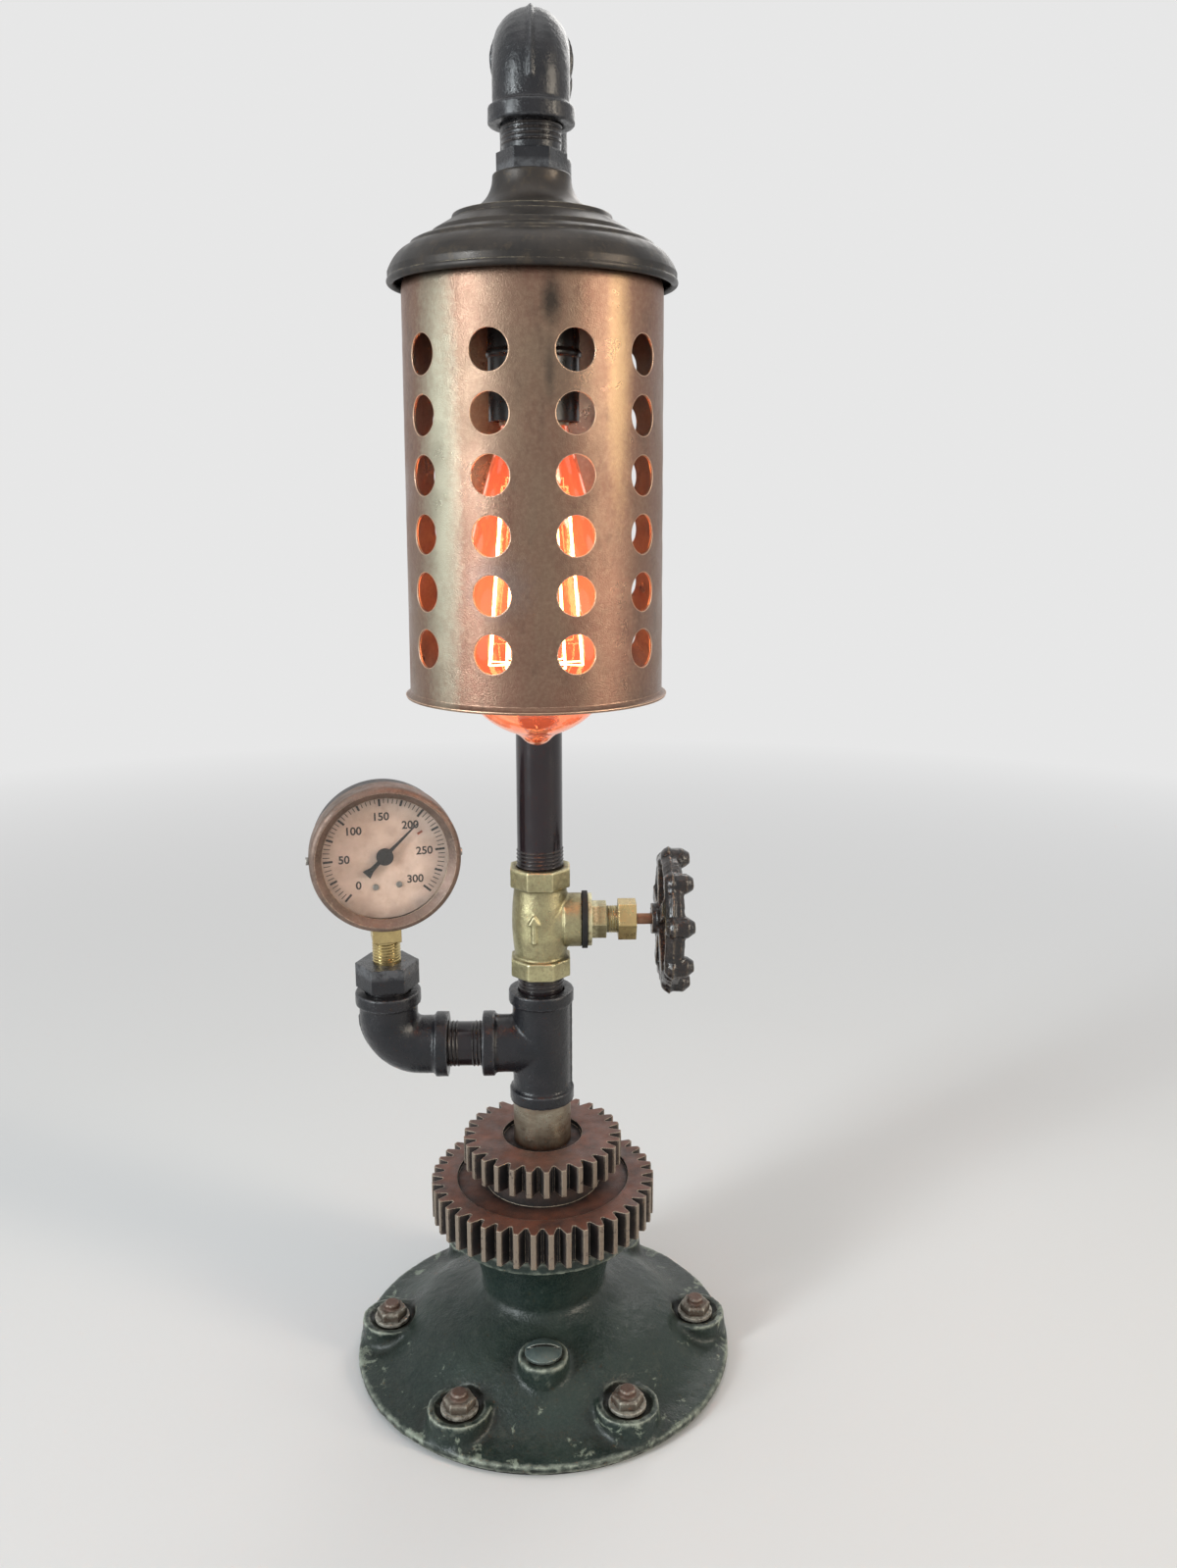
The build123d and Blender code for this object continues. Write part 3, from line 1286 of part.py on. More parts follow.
with BuildPart() as bulb_filament:
    for turn in filament_turns:
        outward = Vector(cos(turn), sin(turn), 0)
        ends = []
        for height, reach in ((ring_low, filament_low_ring), (ring_high, filament_high_ring)):
            support = Plane(origin=outward * mount_rod_radius + Vector(0, -arm_reach, height), z_dir=outward)
            disc(support, support_radius, reach - mount_rod_radius)
            ends.append(support.offset(reach - mount_rod_radius).origin)
        strand = ends[1] - ends[0]
        disc(Plane(origin=ends[0], z_dir=strand), filament_radius, strand.length)
save(bulb_filament.part, "bulb_filament")
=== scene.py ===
import math

import bpy
from mathutils import Matrix, Vector


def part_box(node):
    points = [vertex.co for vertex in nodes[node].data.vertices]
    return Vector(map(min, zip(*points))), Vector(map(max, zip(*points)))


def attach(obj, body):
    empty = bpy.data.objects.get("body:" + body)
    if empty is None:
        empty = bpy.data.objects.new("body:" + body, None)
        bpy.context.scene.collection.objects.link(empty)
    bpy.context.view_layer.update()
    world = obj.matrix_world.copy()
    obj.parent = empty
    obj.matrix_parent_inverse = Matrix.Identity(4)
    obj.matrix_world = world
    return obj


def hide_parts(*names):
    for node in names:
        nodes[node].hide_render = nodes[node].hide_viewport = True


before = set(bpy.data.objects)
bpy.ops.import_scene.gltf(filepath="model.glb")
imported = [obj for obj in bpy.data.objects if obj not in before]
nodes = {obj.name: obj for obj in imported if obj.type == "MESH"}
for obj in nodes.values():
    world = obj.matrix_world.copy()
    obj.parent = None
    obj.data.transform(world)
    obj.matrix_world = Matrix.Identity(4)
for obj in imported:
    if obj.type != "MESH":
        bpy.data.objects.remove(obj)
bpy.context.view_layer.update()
mm = 0.001
print("frame loaded:", len(nodes), "nodes")


def clearSelection():
    if bpy.context.object and bpy.context.object.mode != "OBJECT":
        bpy.ops.object.mode_set(mode="OBJECT")
    bpy.ops.object.select_all(action="DESELECT")


def pick(piece):
    clearSelection()
    piece.select_set(True)
    bpy.context.view_layer.objects.active = piece
    return piece


def settle(piece, name, place=None):
    # the place goes into the mesh, so the object itself sits at the origin
    pick(piece)
    if place is not None:
        piece.matrix_world = place @ piece.matrix_world
    bpy.ops.object.transform_apply(location=True, rotation=True, scale=True)
    piece.name = name
    piece.data.name = name
    return piece


def applyModifiers(piece):
    pick(piece)
    for modifier in list(piece.modifiers):
        bpy.ops.object.modifier_apply(modifier=modifier.name)
    return piece


def smooth(piece, angle=35):
    pick(piece)
    bpy.ops.object.shade_smooth_by_angle(angle=math.radians(angle))
    return piece


def closeUp(piece):
    # merges doubles, closes open ends and turns every face outwards
    pick(piece)
    bpy.ops.object.mode_set(mode="EDIT")
    bpy.ops.mesh.select_all(action="SELECT")
    bpy.ops.mesh.remove_doubles(threshold=0.000001)
    bpy.ops.mesh.fill_holes(sides=0)
    bpy.ops.mesh.select_all(action="SELECT")
    bpy.ops.mesh.normals_make_consistent(inside=False)
    bpy.ops.object.mode_set(mode="OBJECT")
    return piece


def copyNode(node, name):
    # a closed copy of a node's own mesh
    piece = bpy.data.objects.new(name, nodes[node].data.copy())
    bpy.context.collection.objects.link(piece)
    return closeUp(piece)


def joinPieces(pieces, name):
    clearSelection()
    for piece in pieces:
        piece.select_set(True)
    bpy.context.view_layer.objects.active = pieces[0]
    if len(pieces) > 1:
        bpy.ops.object.join()
    pieces[0].name = name
    pieces[0].data.name = name
    return pieces[0]


def paint(piece, material):
    piece.data.materials.clear()
    piece.data.materials.append(material)
    return piece


def declare(piece, body, material, stands=()):
    paint(piece, material)
    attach(piece, body)
    if stands:
        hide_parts(*stands)
    return piece


def makeGroup(name, inputs, masks, normals=()):
    # an input is a vector where its value has three numbers
    group = bpy.data.node_groups.new(name, "ShaderNodeTree")
    for label, value in inputs.items():
        kind = "NodeSocketVector" if isinstance(value, tuple) else "NodeSocketFloat"
        socket = group.interface.new_socket(name=label, in_out="INPUT", socket_type=kind)
        socket.default_value = value
    for labels, kind in ((masks, "NodeSocketFloat"), (normals, "NodeSocketVector")):
        for label in labels:
            group.interface.new_socket(name=label, in_out="OUTPUT", socket_type=kind)
    return group, group.nodes.new("NodeGroupInput"), group.nodes.new("NodeGroupOutput")


def addNode(tree, kind, **values):
    # a value sets the node's own option of that name, or else its input
    node = tree.nodes.new(kind)
    for key, value in values.items():
        if hasattr(node, key):
            setattr(node, key, value)
        else:
            node.inputs[key.replace("_", " ")].default_value = value
    return node


def feed(tree, socket, value):
    if isinstance(value, (int, float)):
        socket.default_value = value
    elif isinstance(value, tuple):
        socket.default_value = (*value, 1) if len(socket.default_value) == 4 else value
    else:
        tree.links.new(value, socket)


def maths(tree, operation, first, second=None, clamp=False):
    node = addNode(tree, "ShaderNodeMath", operation=operation, use_clamp=clamp)
    feed(tree, node.inputs[0], first)
    if second is not None:
        feed(tree, node.inputs[1], second)
    return node.outputs[0]


def vectorMaths(tree, operation, first, second=None):
    node = addNode(tree, "ShaderNodeVectorMath", operation=operation)
    feed(tree, node.inputs[0], first)
    if second is not None:
        feed(tree, node.inputs[1], second)
    return node.outputs["Value" if operation in ("LENGTH", "DOT_PRODUCT") else "Vector"]


def blend(tree, factor, first, second):
    node = addNode(tree, "ShaderNodeMix", data_type="RGBA")
    feed(tree, node.inputs[0], factor)
    feed(tree, node.inputs[6], first)
    feed(tree, node.inputs[7], second)
    return node.outputs[2]


def spread(tree, value, low, high, toLow=0.0, toHigh=1.0):
    node = addNode(tree, "ShaderNodeMapRange", clamp=True)
    for index, level in enumerate((value, low, high, toLow, toHigh)):
        feed(tree, node.inputs[index], level)
    return node.outputs[0]


def here(tree):
    # where a point of the surface lies, measured from the lamp's origin
    return tree.nodes.new("ShaderNodeTexCoord").outputs["Object"]


def upwards(tree, vector):
    split = tree.nodes.new("ShaderNodeSeparateXYZ")
    feed(tree, split.inputs[0], vector)
    return split.outputs["Z"]


def noise(tree, scale, detail=4.0, roughness=0.55, vector=None, distortion=0.0):
    node = addNode(tree, "ShaderNodeTexNoise", Detail=detail, Roughness=roughness, Distortion=distortion)
    feed(tree, node.inputs["Vector"], vector or here(tree))
    feed(tree, node.inputs["Scale"], scale)
    return node.outputs["Fac"]


def place(tree, group, **values):
    node = tree.nodes.new("ShaderNodeGroup")
    node.node_tree = group
    for key, value in values.items():
        node.inputs[key.replace("_", " ")].default_value = value
    return node


chipping = {"samples": 6, "bend": (0.015, 0.16), "detail": 5.0, "ragged": 0.65, "level": 0.95, "pull": 0.3,
            "softness": 0.08, "fade": 0.5}


def makeEdges():
    # a mask that is bright where a corner sticks out and its finish has chipped,
    # and the normal of the rounded corner
    group, entry, leave = makeGroup(
        "edges", {"Reach": 0.0008, "Amount": 0.5, "Breakup": 400.0}, ["Mask"], ["Rounded"])
    rounded = addNode(group, "ShaderNodeBevel", samples=chipping["samples"])
    group.links.new(entry.outputs["Reach"], rounded.inputs["Radius"])
    flat = group.nodes.new("ShaderNodeNewGeometry").outputs["Normal"]
    straight = vectorMaths(group, "DOT_PRODUCT", rounded.outputs[0], flat)
    edge = spread(group, maths(group, "SUBTRACT", 1.0, straight), *chipping["bend"])
    chips = noise(group, entry.outputs["Breakup"], chipping["detail"], chipping["ragged"])
    eased = maths(group, "MULTIPLY", entry.outputs["Amount"], chipping["pull"])
    needed = maths(group, "SUBTRACT", chipping["level"], eased)
    raised = maths(group, "ADD", chips, maths(group, "MULTIPLY", edge, chipping["pull"]))
    worn = spread(group, raised, needed, maths(group, "ADD", needed, chipping["softness"]))
    mask = maths(group, "MULTIPLY", worn, spread(group, edge, 0.0, chipping["fade"]))
    group.links.new(mask, leave.inputs["Mask"])
    group.links.new(rounded.outputs[0], leave.inputs["Rounded"])
    return group


dirtAndShadeSettings = {"samples": 6, "detail": 5.0, "ragged": 0.6, "patches": (0.25, 0.65, 0.5, 1.6)}


def makeGrime():
    # dirt that settles in corners and under ledges, and painted shade in the same corners
    group, entry, leave = makeGroup("dirtAndShadeGroup", {"Reach": 0.006, "Amount": 0.6, "Breakup": 150.0}, ["Mask"])
    hidden = addNode(group, "ShaderNodeAmbientOcclusion", samples=dirtAndShadeSettings["samples"])
    group.links.new(entry.outputs["Reach"], hidden.inputs["Distance"])
    ragged = noise(group, entry.outputs["Breakup"], dirtAndShadeSettings["detail"], dirtAndShadeSettings["ragged"])
    patch = spread(group, ragged, *dirtAndShadeSettings["patches"])
    total = maths(group, "MULTIPLY", maths(group, "SUBTRACT", 1.0, hidden.outputs["AO"]), patch)
    group.links.new(maths(group, "MULTIPLY", total, entry.outputs["Amount"], True), leave.inputs["Mask"])
    return group


mottling = {"middle": 0.5, "detail": 6.0, "ragged": 0.62, "swirl": 0.3, "speckScale": 7.0, "speckDetail": 4.0,
            "speckRagged": 0.7, "specks": (0.54, 0.68)}


def makeMottle():
    # soft patches and, seven times smaller, specks
    group, entry, leave = makeGroup(
        "mottle", {"Scale": 40.0, "Softness": 0.1, "Stretch": (1, 1, 1)}, ["Patches", "Specks"])
    scale, softness, middle = entry.outputs["Scale"], entry.outputs["Softness"], mottling["middle"]
    scaled = vectorMaths(group, "MULTIPLY", here(group), entry.outputs["Stretch"])
    big = noise(group, scale, mottling["detail"], mottling["ragged"], scaled, mottling["swirl"])
    low, high = maths(group, "SUBTRACT", middle, softness), maths(group, "ADD", middle, softness)
    patches = spread(group, big, low, high)
    fine = maths(group, "MULTIPLY", scale, mottling["speckScale"])
    small = noise(group, fine, mottling["speckDetail"], mottling["speckRagged"], scaled)
    group.links.new(patches, leave.inputs["Patches"])
    group.links.new(spread(group, small, *mottling["specks"]), leave.inputs["Specks"])
    return group


dusting = {"slope": (0.35, 0.95), "detail": 6.0, "ragged": 0.65, "patches": (0.35, 0.7, 0.15, 1.0)}


def makeDust():
    # lies on what faces up
    group, entry, leave = makeGroup("dust", {"Amount": 0.5, "Breakup": 90.0}, ["Mask"])
    facing = upwards(group, group.nodes.new("ShaderNodeNewGeometry").outputs["Normal"])
    level = spread(group, facing, *dusting["slope"])
    ragged = noise(group, entry.outputs["Breakup"], dusting["detail"], dusting["ragged"])
    patch = spread(group, ragged, *dusting["patches"])
    total = maths(group, "MULTIPLY", maths(group, "MULTIPLY", level, patch), entry.outputs["Amount"], True)
    group.links.new(total, leave.inputs["Mask"])
    return group


rubbing = {"rise": 0.045, "detail": 5.0, "ragged": 0.7, "patches": (0.36, 0.56, 0.15, 1.0)}


def makeCrests():
    # where a lumpy casting bulges and its paint has rubbed off;
    # reads the shape of a fine, even mesh
    group, entry, leave = makeGroup("crests", {"Level": 0.53, "Breakup": 200.0, "Amount": 1.0}, ["Mask"])
    shape = group.nodes.new("ShaderNodeNewGeometry").outputs["Pointiness"]
    level = entry.outputs["Level"]
    bulge = spread(group, shape, level, maths(group, "ADD", level, rubbing["rise"]))
    ragged = noise(group, entry.outputs["Breakup"], rubbing["detail"], rubbing["ragged"])
    patch = spread(group, ragged, *rubbing["patches"])
    total = maths(group, "MULTIPLY", maths(group, "MULTIPLY", bulge, patch), entry.outputs["Amount"], True)
    group.links.new(total, leave.inputs["Mask"])
    return group


sanding = {"fineDetail": 3.0, "fineRagged": 0.6, "slowDetail": 4.0, "slowRagged": 0.5}


def makeSkin():
    # the height of a surface: fine sand on slow swells
    group, entry, leave = makeGroup("skin", {"Grain": 900.0, "Swell": 90.0, "Swell Share": 0.5}, ["Height"])
    fine = noise(group, entry.outputs["Grain"], sanding["fineDetail"], sanding["fineRagged"])
    slow = noise(group, entry.outputs["Swell"], sanding["slowDetail"], sanding["slowRagged"])
    slowShare = entry.outputs["Swell Share"]
    fineShare = maths(group, "SUBTRACT", 1.0, slowShare)
    sand, swells = maths(group, "MULTIPLY", fine, fineShare), maths(group, "MULTIPLY", slow, slowShare)
    group.links.new(maths(group, "ADD", sand, swells), leave.inputs["Height"])
    return group


edges, dirtAndShadeGroup, mottle, dust = makeEdges(), makeGrime(), makeMottle(), makeDust()
crests, skin = makeCrests(), makeSkin()
print("shader groups made")


def blankMaterial(name, **sockets):
    material = bpy.data.materials.new(name)
    material.use_nodes = True
    tree = material.node_tree
    tree.nodes.clear()
    leave = tree.nodes.new("ShaderNodeOutputMaterial")
    shader = tree.nodes.new("ShaderNodeBsdfPrincipled")
    tree.links.new(shader.outputs[0], leave.inputs["Surface"])
    for key, value in sockets.items():
        shader.inputs[key.replace("_", " ")].default_value = value
    return material, tree, shader


flaking = {"detail": 6.0, "ragged": 0.7, "swirl": 0.4, "softness": 0.05}


def flakes(tree, flake):
    # a finish that changes towards a round edge, measured out from the lamp's axis
    away = vectorMaths(tree, "LENGTH", vectorMaths(tree, "MULTIPLY", here(tree), (1, 1, 0)))
    near = spread(tree, away, flake["from"], flake["to"], 0.0, flake["gain"])
    chips = noise(tree, flake["scale"], flaking["detail"], flaking["ragged"], None, flaking["swirl"])
    level = flake["level"]
    return spread(tree, maths(tree, "ADD", chips, near), level, level + flaking["softness"])


stainAndHighlightNoise = {"scale": 420.0, "detail": 5.0, "ragged": 0.75, "edge": (0.8, 1.7)}


def spot(tree, stainAndHighlight):
    # a ragged spot of a given reach round one place, used for stains and for painted highlights
    offset = vectorMaths(tree, "SUBTRACT", here(tree), stainAndHighlight["place"])
    away = vectorMaths(tree, "LENGTH", vectorMaths(tree, "DIVIDE", offset, stainAndHighlight["reach"]))
    ragged = maths(tree, "ADD", away, noise(tree, stainAndHighlightNoise["scale"], stainAndHighlightNoise["detail"], stainAndHighlightNoise["ragged"]))
    return spread(tree, ragged, *stainAndHighlightNoise["edge"], stainAndHighlight["amount"], 0.0)


commonLook = {
    "patchScale": 60.0, "softness": 0.1, "stretch": (1, 1, 1), "speckAmount": 0.5, "dust": 0.0,
    "dustColour": (0.20, 0.16, 0.12), "dirtAndShade": (0.015, 0.012, 0.010), "dirtAndShadeAmount": 0.6, "dirtAndShadeReach": 0.006,
    "wearReach": 0.0007, "wearAmount": 0.4, "wearBreakup": 420.0, "roughness": (0.35, 0.6), "metal": 0.0,
    "wornMetal": 0.8, "coat": 0.0, "coatRoughness": 0.2, "specular": 0.5, "grain": 1500.0, "swell": 120.0,
    "swellShare": 0.4, "bump": 0.3, "bumpDepth": 0.0003, "rings": (), "stainsAndHighlights": ()}
layers = {
    "fleckDetail": 3.0, "fleckRagged": 0.75, "flecks": (0.42, 0.66), "bandCover": 0.9, "glossScale": 2.3,
    "glossDetail": 5.0, "glossRagged": 0.6, "glossPatches": (0.35, 0.65), "dirtAndShadeDulls": 0.2, "wearSinks": 0.12}


def layeredColour(tree, look, dirtAndShade, chips):
    # from the bottom up: two mottled colours, specks, flecks, rings, a band, stains and painted highlights,
    # dust, dirt and painted shade in the corners, then what is worn bare at the edges and on the crests
    patches = place(tree, mottle, Scale=look["patchScale"], Softness=look["softness"],
                    Stretch=look["stretch"])
    colour = blend(tree, patches.outputs["Patches"], look["base"], look["patch"])
    if "speck" in look:
        specks = maths(tree, "MULTIPLY", patches.outputs["Specks"], look["speckAmount"])
        colour = blend(tree, specks, colour, look["speck"])
    if "fleck" in look:
        fleck = look["fleck"]
        fine = noise(tree, fleck["scale"], layers["fleckDetail"], layers["fleckRagged"])
        flecks = spread(tree, fine, *layers["flecks"], 0.0, fleck["amount"])
        colour = blend(tree, flecks, colour, fleck["colour"])
    for ring in look["rings"]:
        colour = blend(tree, flakes(tree, ring), colour, ring["colour"])
    if "band" in look:
        low, high = look["band"]["heights"]
        band = spread(tree, upwards(tree, here(tree)), low, high, 0.0, layers["bandCover"])
        colour = blend(tree, band, colour, look["band"]["colour"])
    # stains, and painted highlights that stand in for reflections of lamps
    for stainAndHighlight in look["stainsAndHighlights"]:
        colour = blend(tree, spot(tree, stainAndHighlight), colour, stainAndHighlight["colour"])
    if look["dust"]:
        lying = place(tree, dust, Amount=look["dust"]).outputs[0]
        colour = blend(tree, lying, colour, look["dustColour"])
    colour = blend(tree, dirtAndShade, colour, look["dirtAndShade"])
    colour = blend(tree, chips, colour, look["worn"])
    if "crest" in look:
        rubbed = place(tree, crests, **look["crest"]).outputs[0]
        colour = blend(tree, rubbed, colour, look["worn"])
    return colour


def agedSurface(name, look):
    look = {**commonLook, **look}
    material, tree, shader = blankMaterial(
        name, Coat_Weight=look["coat"], Coat_Roughness=look["coatRoughness"],
        Specular_IOR_Level=look["specular"])
    # dirt and painted shade in corners and under ledges
    dirtAndShade = place(tree, dirtAndShadeGroup, Reach=look["dirtAndShadeReach"], Amount=look["dirtAndShadeAmount"]).outputs[0]
    wear = place(tree, edges, Reach=look["wearReach"], Amount=look["wearAmount"], Breakup=look["wearBreakup"])
    chips = wear.outputs["Mask"]
    tree.links.new(layeredColour(tree, look, dirtAndShade, chips), shader.inputs["Base Color"])
    glossScale = look["patchScale"] * layers["glossScale"]
    patches = noise(tree, glossScale, layers["glossDetail"], layers["glossRagged"])
    rough = spread(tree, patches, *layers["glossPatches"], *look["roughness"])
    dulled = maths(tree, "ADD", rough, maths(tree, "MULTIPLY", dirtAndShade, layers["dirtAndShadeDulls"]), True)
    tree.links.new(dulled, shader.inputs["Roughness"])
    if look["metal"] == look["wornMetal"]:
        shader.inputs["Metallic"].default_value = look["metal"]
    else:
        metal = spread(tree, chips, 0.0, 1.0, look["metal"], look["wornMetal"])
        tree.links.new(metal, shader.inputs["Metallic"])
    surface = place(tree, skin, Grain=look["grain"], Swell=look["swell"], Swell_Share=look["swellShare"])
    sunk = maths(tree, "MULTIPLY", chips, layers["wearSinks"])
    height = maths(tree, "SUBTRACT", surface.outputs[0], sunk)
    bump = addNode(tree, "ShaderNodeBump", Strength=look["bump"], Distance=look["bumpDepth"])
    tree.links.new(height, bump.inputs["Height"])
    tree.links.new(wear.outputs["Rounded"], bump.inputs["Normal"])
    tree.links.new(bump.outputs[0], shader.inputs["Normal"])
    return material


